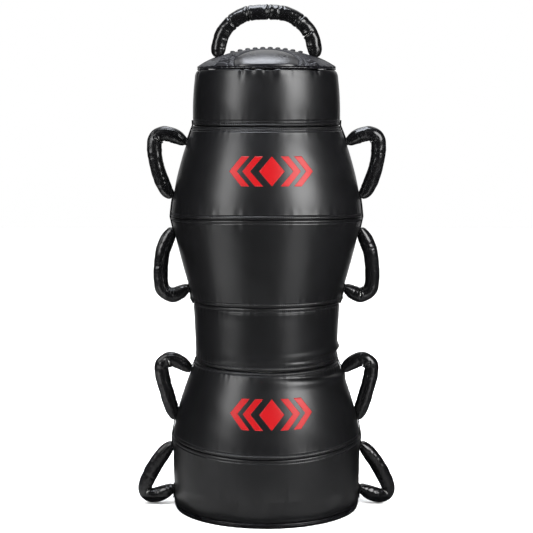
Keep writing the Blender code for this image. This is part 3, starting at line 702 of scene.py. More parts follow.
# %% Cut the four pieces of the crown
meet_y = -(RIM_RADIUS**2 + SEAM_CENTRE**2 - SEAM_RADIUS**2) / (2 * SEAM_CENTRE)
meet_x = math.sqrt(RIM_RADIUS**2 - meet_y**2)
MEET = math.atan2(meet_x, -meet_y)
SEAM_TURN = math.atan2(meet_x, meet_y + SEAM_CENTRE)
# Of a placket's outer edge, the share along the curved seam and the share along the rim.
SEAM_SHARE, RIM_SHARE = 0.42, 0.58


def crowd(share):
    """Shares from 0 to 1 that crowd towards 1."""
    return 1 - (1 - share) ** 2


def solidified(made, wall):
    """Gives an open sheet its wall, inwards."""
    thick = made.modifiers.new("wall", "SOLIDIFY")
    thick.thickness = wall
    thick.offset = -1.0
    return made


def facing_up(points):
    """The rows in the order that makes an open sheet's faces point up."""
    a, b = points[1, 0] - points[0, 0], points[0, 1] - points[0, 0]
    return points if np.cross(b, a)[2] > 0 else points[::-1]


def sheet_of(front, back):
    """Two grids of one size, closed along their edges, as points and outward faces."""
    rows, columns = front.shape[:2]
    own = grid_faces(rows, columns, False, False)
    size = rows * columns
    grid = np.arange(size).reshape(rows, columns)
    rim = np.concatenate([grid[0, :-1], grid[:-1, -1], grid[-1, :0:-1], grid[:0:-1, 0]])
    wall = np.stack([rim, rim + size, np.roll(rim, -1) + size, np.roll(rim, -1)], -1)
    faces = np.concatenate([own, own[:, ::-1] + size, wall])
    points = np.concatenate([front.reshape(-1, 3), back.reshape(-1, 3)])
    if signed_volume(points, faces) < 0:
        faces = faces[:, ::-1]
    return points, faces


def sheet_mesh(name, points, finish):
    """An open grid as a mesh, as it comes, its UV map the place on the floor turned by 45 degrees."""
    rows, columns = points.shape[:2]
    faces = grid_faces(rows, columns, False, False)
    mesh = bpy.data.meshes.new(name)
    mesh.from_pydata(points.reshape(-1, 3).tolist(), [], faces.tolist())
    flat = points.reshape(-1, 3)[faces.ravel()]
    spread = np.stack([flat[:, 0] + flat[:, 1], flat[:, 0] - flat[:, 1]], -1) * math.sqrt(0.5)
    mesh.uv_layers.new(name="laid_out").data.foreach_set("uv", spread.ravel().astype(np.float32))
    mesh.shade_smooth()
    mesh.materials.append(finish)
    return linked(name, mesh)


def crown_piece(name, node, x, y, finish):
    """A piece of the crown over a grid of places on the floor, with its wall."""
    points = facing_up(crown_point(x, y))
    made = solidified(sheet_mesh(name, points, finish), 2.2 * MM)
    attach(made, "root")
    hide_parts(node)


for word, side in HALVES:
    across = np.linspace(-1, 1, 121)[:, None]
    out = crowd(np.linspace(0, 1, 61))[None, :]
    edge = RIM_RADIUS - 0.3 * MM
    arc = SEAM_RADIUS - 0.25 * MM
    inner_x = arc * np.sin(across * SEAM_TURN)
    inner_y = -SEAM_CENTRE + arc * np.cos(across * SEAM_TURN)
    rim_x, rim_y = edge * np.sin(across * MEET), -edge * np.cos(across * MEET)
    x, y = inner_x + (rim_x - inner_x) * out, inner_y + (rim_y - inner_y) * out
    crown_piece(f"crown_{word}_half_moon", f"crown_{word}_panel", x, -side * y, crown_cloth)

    share = np.linspace(-1, 1, 341)
    on_rim = np.abs(share) > SEAM_SHARE
    turn = np.sign(share) * (MEET + (np.abs(share) - SEAM_SHARE) / RIM_SHARE * (math.pi / 2 - MEET))
    seam_turn = share / SEAM_SHARE * SEAM_TURN
    arc = SEAM_RADIUS + 0.25 * MM
    outer_x = np.where(on_rim, edge * np.sin(turn), arc * np.sin(seam_turn))
    outer_y = np.where(on_rim, -edge * np.cos(turn), -SEAM_CENTRE + arc * np.cos(seam_turn))
    slit_x = edge * np.sin(share * math.pi / 2)
    slit_y = -SLIT * np.clip((0.1 - np.abs(slit_x)) / 0.012, 0.03, 1)
    out = crowd(np.linspace(0, 1, 85))[None, :]
    x = slit_x[:, None] + (outer_x - slit_x)[:, None] * out
    y = slit_y[:, None] + (outer_y - slit_y)[:, None] * out
    crown_piece(f"{word}_placket_stitched", f"{word}_placket", x, -side * y, twill)
print("crown pieces", 4)

# %% [markdown]
# ## The lace
#
# One braided lace winds along the slit: up through an eyelet of the front row, over, down through
# the rear row, under and on to the next pair. The eyelets are turned rings, set square to the
# cloth. One ring is made and copied to every station with the three axes that the dome has there.

# %% Eyelets
LACE_PITCH, LACE_TURNS = 17.5 * MM, 10
EYELET_Y = 18 * MM
STATIONS = (np.arange(LACE_TURNS) - (LACE_TURNS - 1) / 2) * LACE_PITCH


def unit(vectors):
    """Vectors (..., 3) or (..., 2) divided by their lengths."""
    return vectors / np.linalg.norm(vectors, axis=-1, keepdims=True)


def crown_axes(x, y):
    """At places on the crown: the point, a unit vector along the slit, one across, and the normal."""
    zero = np.zeros_like(x)
    point = np.stack([x, y, dome(x, y)], -1)
    fx, fy = dome_slopes(x, y, 0.002)
    along, normal = unit(np.stack([zero + 1, zero, fx], -1)), unit(np.stack([-fx, -fy, zero + 1], -1))
    return point, along, np.cross(normal, along), normal


def copies(name, shape, faces, origins, axes, finish):
    """One small shape (points, 3) at many places, each with its own three axes, in one mesh."""
    points = origins[:, None, :] + np.einsum("pk,nkc->npc", shape, axes)
    steps = (np.arange(len(origins)) * len(shape))[:, None, None]
    return to_mesh(name, points.reshape(-1, 3), (faces[None] + steps).reshape(-1, faces.shape[1]), finish)


ring_turn = np.linspace(0, 2 * np.pi, 10, endpoint=False)[:, None]
ring_round = np.linspace(0, 2 * np.pi, 20, endpoint=False)[None, :]
ring_r = 6.9 + 1.4 * np.cos(ring_turn)
eyelet = np.stack(np.broadcast_arrays(
    ring_r * np.cos(ring_round), ring_r * np.sin(ring_round), 0.9 * np.sin(ring_turn),
), -1).reshape(-1, 3) * MM
eyelet_faces = grid_faces(10, 20, True, True)
for word, side in HALVES:
    point, along, across, normal = crown_axes(STATIONS, np.full(LACE_TURNS, side * EYELET_Y))
    axes = np.stack([along, across, normal], 1)
    made = copies(f"{word}_eyelets", eyelet, eyelet_faces, point + 0.7 * MM * normal, axes, blackened)
    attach(made, "root")
print("eyelets", len(HALVES) * LACE_TURNS)

# %% [markdown]
# The path of the lace is the CAD's: a squared circle round the two edges of cloth, repeated along
# the crown. A frame of three axes is carried along it, and the flat section is laid in that frame.

# %% Lace
LACE_HALF_WIDTH, LACE_HALF_THICK = 4.6 * MM, 3.1 * MM


def lace_path(steps=28):
    """The squared circle: across by a low power of the cosine, up and down by that of the sine."""
    turn, part = np.meshgrid(np.arange(LACE_TURNS), np.arange(steps), indexing="ij")
    angle = 2 * np.pi * (part / steps) - np.pi / 4
    turn, angle = turn.ravel(), angle.ravel()
    keep = ~((turn == LACE_TURNS - 1) & (angle > 1.3 * np.pi))
    turn, angle = turn[keep], angle[keep]
    across, up = np.cos(angle), np.sin(angle)
    y = -EYELET_Y * np.sign(across) * np.abs(across) ** 0.45
    z = np.sign(up) * np.abs(up) ** 0.8 * np.where(up > 0, 5.0, 8.0) * MM
    on = np.clip((angle - 1.15 * np.pi) / (0.6 * np.pi), 0, 1)
    x = STATIONS[turn] + LACE_PITCH * on * on * (3 - 2 * on)
    point, _, _, normal = crown_axes(x, y)
    return point + normal * (z - 1.0 * MM)[:, None], np.clip(z / (5.0 * MM), 0, 1) ** 2


def frames_along(path, across):
    """Along a path, the unit tangent, the side nearest to a wished direction, and the third axis."""
    tangent = unit(np.gradient(path, axis=0))
    overlap = np.einsum("ij,ij->i", tangent, np.broadcast_to(across, tangent.shape))
    side = unit(across - tangent * overlap[:, None])
    return tangent, side, np.cross(tangent, side)


def lengths_along(path):
    """The distance from the start of a path to each of its points."""
    return np.concatenate([[0], np.cumsum(np.linalg.norm(np.diff(path, axis=0), axis=1))])


path, on_top = lace_path()
_, side_axis, third = frames_along(path, np.array([1.0, 0.0, 0.0]))
turn = np.linspace(0, 2 * np.pi, 17)[None, :, None]
spread_out = LACE_HALF_WIDTH + 1.7 * MM * on_top[:, None, None]
ring = side_axis[:, None] * spread_out * np.cos(turn) + third[:, None] * LACE_HALF_THICK * np.sin(turn)
run = lengths_along(path)[:, None]
around_it = np.linspace(0, 1, 17)[None, :] * 24 * MM
uv = np.stack([around_it + run, around_it - run], -1)
lace = tube_surface("braided_lace", (path[:, None] + ring)[:, :-1], braid, uv)
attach(lace, "root")
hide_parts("lace")
print("lace", round(float(run[-1, 0]), 2), "m")

# %% [markdown]
# Under the slit lies the tongue, a plain strip that follows the dome 14 mm down, without its relief.

# %% Tongue
tongue_x = np.linspace(-0.098, 0.098, 60)[:, None]
tongue_y = np.linspace(-9, 9, 9)[None, :] * MM
tx, ty = np.broadcast_arrays(tongue_x, tongue_y)
under_slit = facing_up(crown_point(tx, ty, -14.0 * MM - crown_relief(tx, ty)))
tongue = solidified(sheet_mesh("tongue_strip", under_slit, skin_cloth), 1.5 * MM)
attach(tongue, "root")
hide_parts("lace_tongue")
print("tongue", round(float(np.ptp(tongue_x)), 3), "m long")

# %% [markdown]
# ## The straps
#
# Two webbing straps run down the flanks and leave the skin where the handles are. A strap is a
# flat loop of section, 30 mm by 2.6 mm with round edges, carried up the skin. Going round the bag
# by the width over the radius keeps it lying on the curve.

# %% Lay the straps
STRAP_HALF, STRAP_THICK = 15 * MM, 2.6 * MM
SECTION = 28
SIDES = (("left", -1), ("right", 1))
TO_THE_BACK = np.array([0.0, 1.0, 0.0])
section_turn = np.linspace(0, 2 * np.pi, SECTION + 1)
section_y = np.sign(np.cos(section_turn)) * np.abs(np.cos(section_turn)) ** 0.35
section_n = np.sign(np.sin(section_turn)) * np.abs(np.sin(section_turn)) ** 0.8
section_step = np.hypot(np.diff(section_y) * STRAP_HALF, np.diff(section_n) * STRAP_THICK / 2)
section_run = np.concatenate([[0], np.cumsum(section_step)])


def laid_section(centre, normal, half_wide, half_thick):
    """The section carried along centres, its width from front to back, its thickness along normals."""
    across, off = half_wide * section_y[None, :-1, None], half_thick * section_n[None, :-1, None]
    return centre[:, None] + (TO_THE_BACK * across + normal[:, None] * off)


def woven(name, points, run):
    """Rings of webbing as a mesh, its UV map in metres round the section and along the run."""
    uv = np.stack(np.broadcast_arrays(section_run[None, :], run[:, None]), -1)
    return tube_surface(name, points, webbing, uv)


def crown_strap(name, node, side):
    """Out over the crown from the handle's root to the rim."""
    x = side * np.linspace(0.1115, 0.1625, 40)
    centre = crown_point(x, 0 * x, np.linspace(3.4, 2.2, 40) * MM)
    normal = frames_along(centre, TO_THE_BACK)[2]
    points = laid_section(centre, normal, STRAP_HALF, STRAP_THICK / 2)
    made = woven(name, points, lengths_along(centre))
    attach(made, "root")
    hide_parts(node)


def skin_strap(name, node, side, low, high):
    """Up a flank: each row of the section is laid on the skin by direction and height."""
    levels = np.linspace(low, high, max(int((high - low) / (1.6 * MM)), 8))
    azimuth = side * np.pi / 2 + section_y[None, :-1] * STRAP_HALF / skin_radius(levels)[:, None]
    level = np.broadcast_to((levels - seam_lift(np.pi / 2, levels))[:, None], azimuth.shape)
    fold = 1.2 * MM * bell((levels - low) / MM - 5, 6)[:, None] * node.endswith("waist_top_strap")
    lift = 2.3 * MM + fold + STRAP_THICK / 2 * section_n[None, :-1]
    made = woven(name, skin_point(azimuth, level, lift, seams=False), levels)
    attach(made, "root")
    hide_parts(node)


RUNS = ("neck", "belly", "waist_top", "waist_low", "drum", "foot")
for word, side in SIDES:
    for run_name in RUNS:
        node = f"{word}_{run_name}_strap"
        low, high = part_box(node)
        over = {"neck": 13, "waist_low": 5}.get(run_name, 1.2) * MM
        under = {"waist_top": 9}.get(run_name, 1.2) * MM
        skin_strap(node + "_woven", node, side, low.z - under, high.z + over)
    crown_strap(f"{word}_crown_strap_woven", f"{word}_crown_strap", side)
print("straps", 2 * len(RUNS) + 2)

# %% [markdown]
# ## The handles
#
# A handle is a padded sleeve on a strap. Its middle line is a smooth curve through a few points,
# the same as in the CAD, in the upright plane through the axis. Catmull-Rom gives a curve that
# passes its points: each stretch is a cubic whose slope at a point is half the step between that
# point's neighbours.

# %% Middle lines of the handles
GRIP = 17 * MM
SWING_LIFT = 4.0 * MM
SIDE_HANDLES = {
    "shoulder": (0.8770, 0.7490, ((-9, 31), (-7, 58), (10, 72), (40, 66), (82, 46), (118, 20))),
    "belly": (0.6720, 0.5330, ((42, 34), (82, 51), (114, 60), (138, 59), (154, 42), (152, 22))),
    "cone": (0.3300, 0.2120, ((-11, 33), (-9, 56), (8, 68), (32, 61), (66, 40), (102, 16))),
    "drum": (0.1480, 0.0410, ((20, 19), (50, 43), (84, 61), (108, 69), (124, 62), (127, 39), (116, 14))),
}
CROWN_ANCHOR = 0.1155
CROWN_WAY = ((3, 25), (13, 55), (34, 79.5), (66, 98.6))
CROWN_PEAK = 103.6
CROWN_ROOT = 1.0806


def catmull(points, count=24):
    """A smooth curve through points, given as an array (n, 2)."""
    ends = np.vstack([2 * points[0] - points[1], points, 2 * points[-1] - points[-2]])
    t = np.linspace(0, 1, count, endpoint=False)[:, None]
    parts = []
    for a, b, c, d in zip(ends, ends[1:], ends[2:], ends[3:]):
        square, cube = 2 * a - 5 * b + 4 * c - d, 3 * b - a - 3 * c + d
        parts.append((2 * b + (c - a) * t + square * t**2 + cube * t**3) / 2)
    return np.vstack(parts + [points[-1:]])


def even(path, step):
    """The path with its points a step apart."""
    run = lengths_along(path)
    stops = np.linspace(0, run[-1], int(round(run[-1] / step)) + 1)
    return np.stack([np.interp(stops, run, path[:, k]) for k in range(path.shape[1])], -1)


def side_way(level):
    """(radius, height) points from the upper root to the lower, on lines square to the skin."""
    top, bottom, passes = SIDE_HANDLES[level]
    heights = np.array([top, bottom])
    slope = skin_slope(heights)
    out = SWING_LIFT / np.hypot(1, slope)
    roots = np.stack([skin_radius(heights) + out, heights - slope * out], -1)
    down = (roots[1] - roots[0]) / np.linalg.norm(roots[1] - roots[0])
    away = np.array([-down[1], down[0]])
    middle = [roots[0] + (down * s + away * h) * MM for s, h in passes]
    return catmull(np.vstack([roots[:1], middle, roots[1:]]))


def crown_way():
    """(x, height) points from the left root over to the right."""
    start = np.array([-CROWN_ANCHOR, CROWN_ROOT])
    half = np.vstack([start, start + np.array(CROWN_WAY) * MM])
    peak = np.array([[0.0, start[1] + CROWN_PEAK * MM]])
    return catmull(np.vstack([half, peak, half[::-1] * [-1, 1]]))


print("crown handle", round(float(lengths_along(crown_way())[-1]), 3), "m from root to root")

# %% [markdown]
# ## The sleeves
#
# Each sleeve is cut as a nearly straight tube of glossy cloth, longer and wider than the foam that
# it is pushed over. So it puckers along its whole length, bunches inside the bends, and is drawn
# in to the width of the strap at both ends. That is what a cloth simulation is good at: the grid
# starts bent round the handle, a second shape says how it was cut, both ends are held, and it is
# left to settle round the foam.

# %% Shapes of a sleeve
STEP = 2.0 * MM
RING = 52
PAST_ROOT = 3.5 * MM
TAPER, CROWN_TAPER = 36 * MM, 22 * MM
FOAM_GAP = 2.6 * MM
CUT_LONGER, CUT_WIDER, CUT_BEND = 1.16, 1.07, 0.55


def past_roots(way):
    """The middle line, run on straight at both ends until it meets the skin."""
    first, last = way[0] - way[1], way[-1] - way[-2]
    first, last = first / np.linalg.norm(first), last / np.linalg.norm(last)
    return np.vstack([way[0] + first * PAST_ROOT, way, way[-1] + last * PAST_ROOT])


def unbent(path, bend, longer):
    """The path laid out again with each of its turnings multiplied by bend and its steps by longer."""
    step = np.diff(path, axis=0)
    angle = np.unwrap(np.arctan2(step[:, 1], step[:, 0]))
    middle = angle[len(angle) // 2]
    angle = middle + (angle - middle) * bend
    move = np.stack([np.cos(angle), np.sin(angle)], -1) * np.linalg.norm(step, axis=1)[:, None] * longer
    return path[0] + np.vstack([[0, 0], np.cumsum(move, axis=0)])


def rings(path, radius, mouth_thick, mouth_wide, taper, least=0.0):
    """Rings square to a path, round in the grip, that close to flat mouths along a quarter circle."""
    run = lengths_along(path)
    tangent = unit(np.gradient(path, axis=0))
    normal = np.stack([-tangent[:, 1], tangent[:, 0]], -1)
    share = np.clip(np.minimum(run, run[-1] - run) / taper, 0, 1)
    ease = np.maximum(np.sqrt(1 - (1 - share) ** 2), least)
    thick = mouth_thick + (radius - mouth_thick) * ease
    wide = mouth_wide + (radius - mouth_wide) * ease
    turn = np.linspace(0, 2 * np.pi, RING, endpoint=False)
    flat = path[:, None] + normal[:, None] * (thick[:, None] * np.cos(turn))[..., None]
    return np.stack([flat[..., 0], wide[:, None] * np.sin(turn), flat[..., 1]], -1)


def sleeve_shapes(way, taper):
    """Where the sleeve starts, how it was cut, and the foam inside it."""
    path = even(past_roots(way), STEP)
    radius = GRIP + 0.4 * MM
    start = rings(path, radius, 1.5 * MM, 13 * MM, taper)
    cut = rings(unbent(path, CUT_BEND, CUT_LONGER), radius * CUT_WIDER, 2 * MM, 13 * MM, taper, least=0.8)
    return start, cut, rings(path, GRIP - FOAM_GAP, 0.8 * MM, 11 * MM, taper)


def refine(points):
    """Twice the rows and columns by the four-point rule: nine of each near point less each far one."""
    def halved(p, first, last):
        row = np.concatenate([first, p, last])
        middle = (9 * (row[1:-2] + row[2:-1]) - row[:-3] - row[3:]) / 16
        return np.stack([p[:len(middle)], middle], 1).reshape(-1, *p.shape[1:])

    rows = halved(points, 2 * points[:1] - points[1:2], 2 * points[-1:] - points[-2:-1])
    rows = np.concatenate([rows, points[-1:]]).swapaxes(0, 1)
    return halved(rows, rows[-1:], rows[:2]).swapaxes(0, 1)


print("a sleeve is cut", round(100 * CUT_LONGER - 100), "% longer than its way")

# %% [markdown]
# All the sleeves go through one simulation together. A little unevenness at the start decides
# where each puckers. The cloth's rest shape is the cut one, the two rows at each mouth are held,
# and the foam is what it collides with. What comes out is smoothed and kept as plain points.

# %% Let the sleeves settle
FRAMES = 16
MOVED_MOST = 5 * MM


def plain_grid(name, points):
    """A closed-round grid as an object without finish, its faces turned outwards."""
    faces = grid_faces(*points.shape[:2], False, True)
    flat = points.reshape(-1, 3) - points.mean((0, 1))
    if signed_volume(flat, faces) < 0:
        faces = faces[:, ::-1]
    mesh = bpy.data.meshes.new(name)
    mesh.from_pydata(points.reshape(-1, 3).tolist(), [], faces.tolist())
    return linked(name, mesh)


def averaged(field, axis):
    """Each value averaged with both neighbours along an axis that closes on itself."""
    return (np.roll(field, 1, axis) + 2 * field + np.roll(field, -1, axis)) / 4


def smooth_rows(rows):
    """The same along the rows in place, which don't close: the first and the last stay."""
    rows[1:-1] = (rows[:-2] + 2 * rows[1:-1] + rows[2:]) / 4


def uneven(shape, size, passes, draw):
    """Random offsets of a given size, averaged with their neighbours a few times over the grid."""
    field = draw.normal(0, 1, shape)
    for _ in range(passes):
        for axis in (0, 1):
            field = averaged(field, axis)
    return field / field.std() * size


def as_cloth(body, cut):
    """Makes a grid cloth: the cut as its rest shape, both mouths held, light stiff film, slight pressure."""
    body.shape_key_add(name="Basis")
    key = body.shape_key_add(name="cut")
    key.data.foreach_set("co", cut.ravel().astype(np.float32))
    key.value = 0.0
    held = body.vertex_groups.new(name="held")
    size = cut.shape[0] * RING
    held.add(list(range(2 * RING)) + list(range(size - 2 * RING, size)), 1.0, "REPLACE")
    cloth = body.modifiers.new("cloth", "CLOTH")
    made = cloth.settings
    made.quality = 6
    made.mass = 0.12
    made.tension_stiffness = made.compression_stiffness = 30
    made.tension_damping = made.compression_damping = made.shear_damping = 10
    made.shear_stiffness = 12
    made.bending_stiffness = 1.5
    made.air_damping = 4.0
    made.vertex_group_mass = "held"
    made.rest_shape_key = key
    made.use_pressure = True
    made.uniform_pressure_force = 2.0
    made.effector_weights.gravity = 0.0
    cloth.collision_settings.distance_min = 0.0006
    cloth.collision_settings.collision_quality = 2
    cloth.collision_settings.use_self_collision = False
    cloth.point_cache.frame_end = FRAMES


def as_filler(filler):
    """Makes a grid the foam that the cloth can't enter."""
    filler.modifiers.new("collision", "COLLISION")
    filler.collision.thickness_outer = 0.001
    filler.collision.thickness_inner = 0.004


def settle(shapes):
    """Steps all the sleeves through the cloth simulation together, and returns where they end up."""
    scene = bpy.context.scene
    draw = np.random.default_rng(11)
    bodies, foams = {}, []
    for name, (start, cut, foam) in shapes.items():
        rough = start + uneven(start.shape, 0.5 * MM, 3, draw)
        rough[[0, 1, -2, -1]] = start[[0, 1, -2, -1]]
        bodies[name] = plain_grid(name, rough)
        as_cloth(bodies[name], cut)
        foams.append(plain_grid(name + "_filler", foam))
        as_filler(foams[-1])
    for number in range(1, FRAMES + 1):
        scene.frame_set(number)
    graph = bpy.context.evaluated_depsgraph_get()
    settled = {}
    for name, body in bodies.items():
        start = shapes[name][0]
        found = np.empty(start.size, np.float32)
        body.evaluated_get(graph).data.vertices.foreach_get("co", found)
        moved = found.reshape(start.shape) - start
        size = np.linalg.norm(moved, axis=-1, keepdims=True)
        moved *= np.minimum(1, MOVED_MOST / np.maximum(size, 1e-9))
        for number in range(12):
            moved = averaged(moved, 1)
            if number < 5:
                smooth_rows(moved)
        settled[name] = start + 1.3 * moved
        print(name, "moved up to", round(float(size.max()) / MM, 1), "mm")
    for used in list(bodies.values()) + foams:
        bpy.data.objects.remove(used)
    scene.frame_set(1)
    return settled


# %% [markdown]
# The left sleeves and the crown's are simulated. A right sleeve is a left one turned half round
# the bag's axis, so from the front it shows the creases of the other's back.

# %% Cut and settle
ways = {
    f"{word}_{level}_handle": side_way(level) * [side, 1]
    for level in SIDE_HANDLES for word, side in SIDES
}
ways["crown_handle"] = crown_way()
shapes = {
    name: sleeve_shapes(way, CROWN_TAPER if name.startswith("crown") else TAPER)
    for name, way in ways.items() if not name.startswith("right")
}
settled = settle(shapes)
for name in ways:
    if name.startswith("right"):
        other = name.replace("right", "left")
        settled[name] = settled[other] * [-1, -1, 1]
        shapes[name] = tuple(shape * [-1, -1, 1] for shape in shapes[other])
print("sleeves", len(settled), "with", RING, "points round")

# %% [markdown]
# ## Finishing the handles
#
# The settled grids are refined once and given what the simulation is too coarse for: thin creases
# across, deepest inside the bends, and the lengthwise seam of a tube sewn from a flat strip.

# %% Seam and creases of a sleeve
SEAM_AT = 0.62


def seamed(points):
    """A groove with a lip beside it along one column of every ring, towards the front and inside."""
    middle = points.mean(1, keepdims=True)
    out = points - middle
    size = np.linalg.norm(out, axis=-1, keepdims=True)
    turn = np.linspace(0, 1, points.shape[1], endpoint=False)
    x = (np.mod(turn - SEAM_AT + 0.5, 1) - 0.5) * 2 * np.pi * GRIP / MM
    drawn = (-1.3 * bell(x, 1.1) + 0.9 * bell(x - 2.6, 1.6)) * MM
    return points + out / np.maximum(size, 1e-9) * drawn[None, :, None] * np.clip(size / GRIP, 0, 1)


# Where along a handle (share of its length) it is folded right round, and how deep in mm.
BIG_FOLDS = {"crown_handle": ((0.26, 1.8), (0.385, 2.6), (0.515, 2.4), (0.585, 1.2), (0.735, 1.6))}


def creased(points, seed, big=()):
    """Thin valleys across the tube, each facing its own way, or inwards and deepest in a bend."""
    draw = np.random.default_rng(seed)
    centre = points.mean(1)
    run = lengths_along(centre) / MM
    tangent = unit(np.gradient(centre, axis=0))
    turning = np.gradient(tangent, axis=0) / np.gradient(run)[:, None]
    for _ in range(8):
        smooth_rows(turning)
    bend = np.clip(np.linalg.norm(turning, axis=1) * GRIP / MM, 0, 1)
    out = points - centre[:, None]
    size = np.linalg.norm(out, axis=-1)
    out = out / np.maximum(size, 1e-9)[..., None]
    total = np.zeros(size.shape)
    stops = np.cumsum(draw.uniform(6.0, 14.0, 200))
    for stop in stops[stops < run[-1] - 4]:
        k = int(np.searchsorted(run, stop))
        sharp = bend[k] ** 0.7
        facing = turning[k] / max(np.linalg.norm(turning[k]), 1e-9) * 2.2 * sharp + draw.normal(0, 0.6, 3)
        facing -= tangent[k] * (facing @ tangent[k])
        toward = out @ (facing / np.linalg.norm(facing))
        lean = out @ np.cross(tangent[k], facing / np.linalg.norm(facing)) * draw.uniform(-4, 4)
        depth, width = (0.16 + 2.0 * sharp**2) * draw.uniform(0.5, 1.2), draw.uniform(1.5, 2.8)
        x = run[:, None] - stop - lean
        arc = np.clip((toward - draw.uniform(-0.3, 0.5)) * 1.6, 0, 1)
        drawn = -bell(x, width) + 0.4 * bell(x - 2.1 * width, 1.5 * width)
        total += depth * arc * (drawn + 0.2 * bell(x + 2.6 * width, 1.8 * width))
    corner = int(np.argmax(bend))
    toward = out @ (turning[corner] / max(np.linalg.norm(turning[corner]), 1e-9))
    x = run[:, None] - run[corner]
    drawn = -bell(x, 1.7) + 0.35 * bell(x - 5, 3.2) + 0.35 * bell(x + 5, 3.2)
    total += 7.0 * bend[corner] * np.clip(0.9 * toward + 0.25, 0, 1) * drawn
    for share, depth in big:
        x = run[:, None] - share * run[-1] - 3 * out[..., 1]
        total += depth * (-bell(x, 1.6) + 0.35 * bell(x - 5, 3.5) + 0.35 * bell(x + 5, 3.5))
    return points + out * (total * MM * np.clip(size / GRIP, 0, 1))[..., None]


print("big folds on the crown handle", len(BIG_FOLDS["crown_handle"]))

# %% [markdown]
# The sleeves are closed at the mouths. For each handle the span where the swing would set in is
# worked out, 20 mm out from the middle of its roots and 28 mm on the crown, but nothing here bends
# the sleeve along it.
# Inside are a smooth foam core and the strap.

# %% Finish the sleeves, their foam and their straps
SIDE_REACH, CROWN_REACH = 20 * MM, 28 * MM
handle_foams = []


def bending_span(way, reach):
    """Between which points the swing sets in: the middle between the roots, and a reach outwards."""
    roots = np.array([way[0], way[-1]])
    middle = roots.mean(0)
    outward = np.array([-(roots[1] - roots[0])[1], (roots[1] - roots[0])[0]])
    outward /= np.linalg.norm(outward)
    if (way[len(way) // 2] - middle) @ outward < 0:
        outward = -outward
    far = middle + outward * reach
    return (middle[0], 0.0, middle[1]), (far[0], 0.0, far[1])


for name, way in ways.items():
    start, end = bending_span(way, CROWN_REACH if name == "crown_handle" else SIDE_REACH)

    cloth_grid = creased(refine(settled[name]), 90 + len(handle_foams), BIG_FOLDS.get(name, ()))
    cover = tube_surface(name + "_sleeve", seamed(cloth_grid), grip_cloth)
    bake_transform(cover)
    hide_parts(name + "_cover")

    core = tube_surface(name + "_foam_core", shapes[name][2], grip_cloth)
    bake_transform(core)
    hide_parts(name + "_foam")
    handle_foams.append(core)

    path = even(way, 3 * MM)
    centre = np.stack([path[:, 0], 0 * path[:, 0], path[:, 1]], -1)
    run = lengths_along(centre)
    near = np.minimum(run, run[-1] - run)
    flat = np.clip(1 - near / (26 * MM), 0, 1)[:, None, None]
    normal = frames_along(centre, TO_THE_BACK)[2]
    points = laid_section(centre, normal, (3 + 7 * flat) * MM, (2.6 - 1.9 * flat) * MM)
    inner = woven(name + "_inner_strap", points, run)
    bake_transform(inner)
    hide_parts(name + "_webbing")
print("handles", len(ways))

# %% [markdown]
# ## Stitches
#
# A topstitch is a short rise of thread that dives into the cloth at both ends. One small shape of
# twenty faces is copied along every row, with its own axes at each place, and each seam's rows are
# one mesh.

# %% Sew the topstitches
THREAD = 0.6 * MM
stitch_t = np.linspace(-1, 1, 6)[:, None]
stitch_turn = np.linspace(0, 2 * np.pi, 5, endpoint=False)[None, :]
slim = THREAD * np.sqrt(np.clip(1.05 - stitch_t**2, 0.03, 1))
stitch_shape = np.stack(np.broadcast_arrays(
    0.43 * STITCH * stitch_t + 0 * stitch_turn,
    slim * np.cos(stitch_turn),
    slim * np.sin(stitch_turn) - 0.35 * MM * stitch_t**2,
), -1).reshape(-1, 3)
stitch_faces = grid_faces(6, 5, False, True)
stitch_ends = np.array([[4, 3, 2, 1], [4, 1, 0, 0], [26, 27, 28, 29], [25, 26, 29, 29]])
stitch_faces = np.concatenate([stitch_faces, stitch_ends])


def sew_rows(name, rows):
    """rows are (points, unit tangents, unit normals), one of each for each stitch."""
    point, along, normal = (np.concatenate(kind) for kind in zip(*rows))
    axes = np.stack([along, np.cross(normal, along), normal], 1)
    made = copies(name, stitch_shape, stitch_faces, point, axes, thread)
    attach(made, "root")
    return len(point)


def ring_row(seam, away):
    """A row round the bag, a distance in mm up the skin from a seam, between that seam's furrows."""
    slope = np.hypot(1, float(skin_slope(np.array(SEAM_HEIGHTS[seam] + 0.5 * MM * np.sign(away)))))
    level = SEAM_HEIGHTS[seam] + away * MM / slope
    count = stitches_round(seam)
    azimuth = (np.arange(count) + 0.5) * 2 * np.pi / count
    point = skin_point(azimuth, level, 0.5 * MM)
    along = np.stack([np.cos(azimuth), np.sin(azimuth), 0 * azimuth], -1)
    slope = skin_slope(np.full(count, level))
    normal = np.stack([np.sin(azimuth), -np.cos(azimuth), -slope], -1) / np.hypot(1, slope)[:, None]
    return point, along, normal


total = 0
for k in range(1, 6):
    rows = [ring_row(k, side * away) for away in ROWS[k] for side in (-1, 1)]
    total += sew_rows(f"seam_{k}_stitches", rows)
print("stitches round the body", total)

# %% [markdown]
# On the crown a row follows a line of places: two beside each curved seam and one along each hem.

# %% Sew the crown's rows


def crown_row(x, y):
    """Stitches evenly along a line of places on the crown."""
    line = even(np.stack([x, y], -1), STITCH)
    point = crown_point(line[:, 0], line[:, 1], 0.35 * MM)
    tangent, _, _ = frames_along(point, np.array([0.0, 0.0, 1.0]))
    _, _, _, normal = crown_axes(line[:, 0], line[:, 1])
    return point, tangent, normal


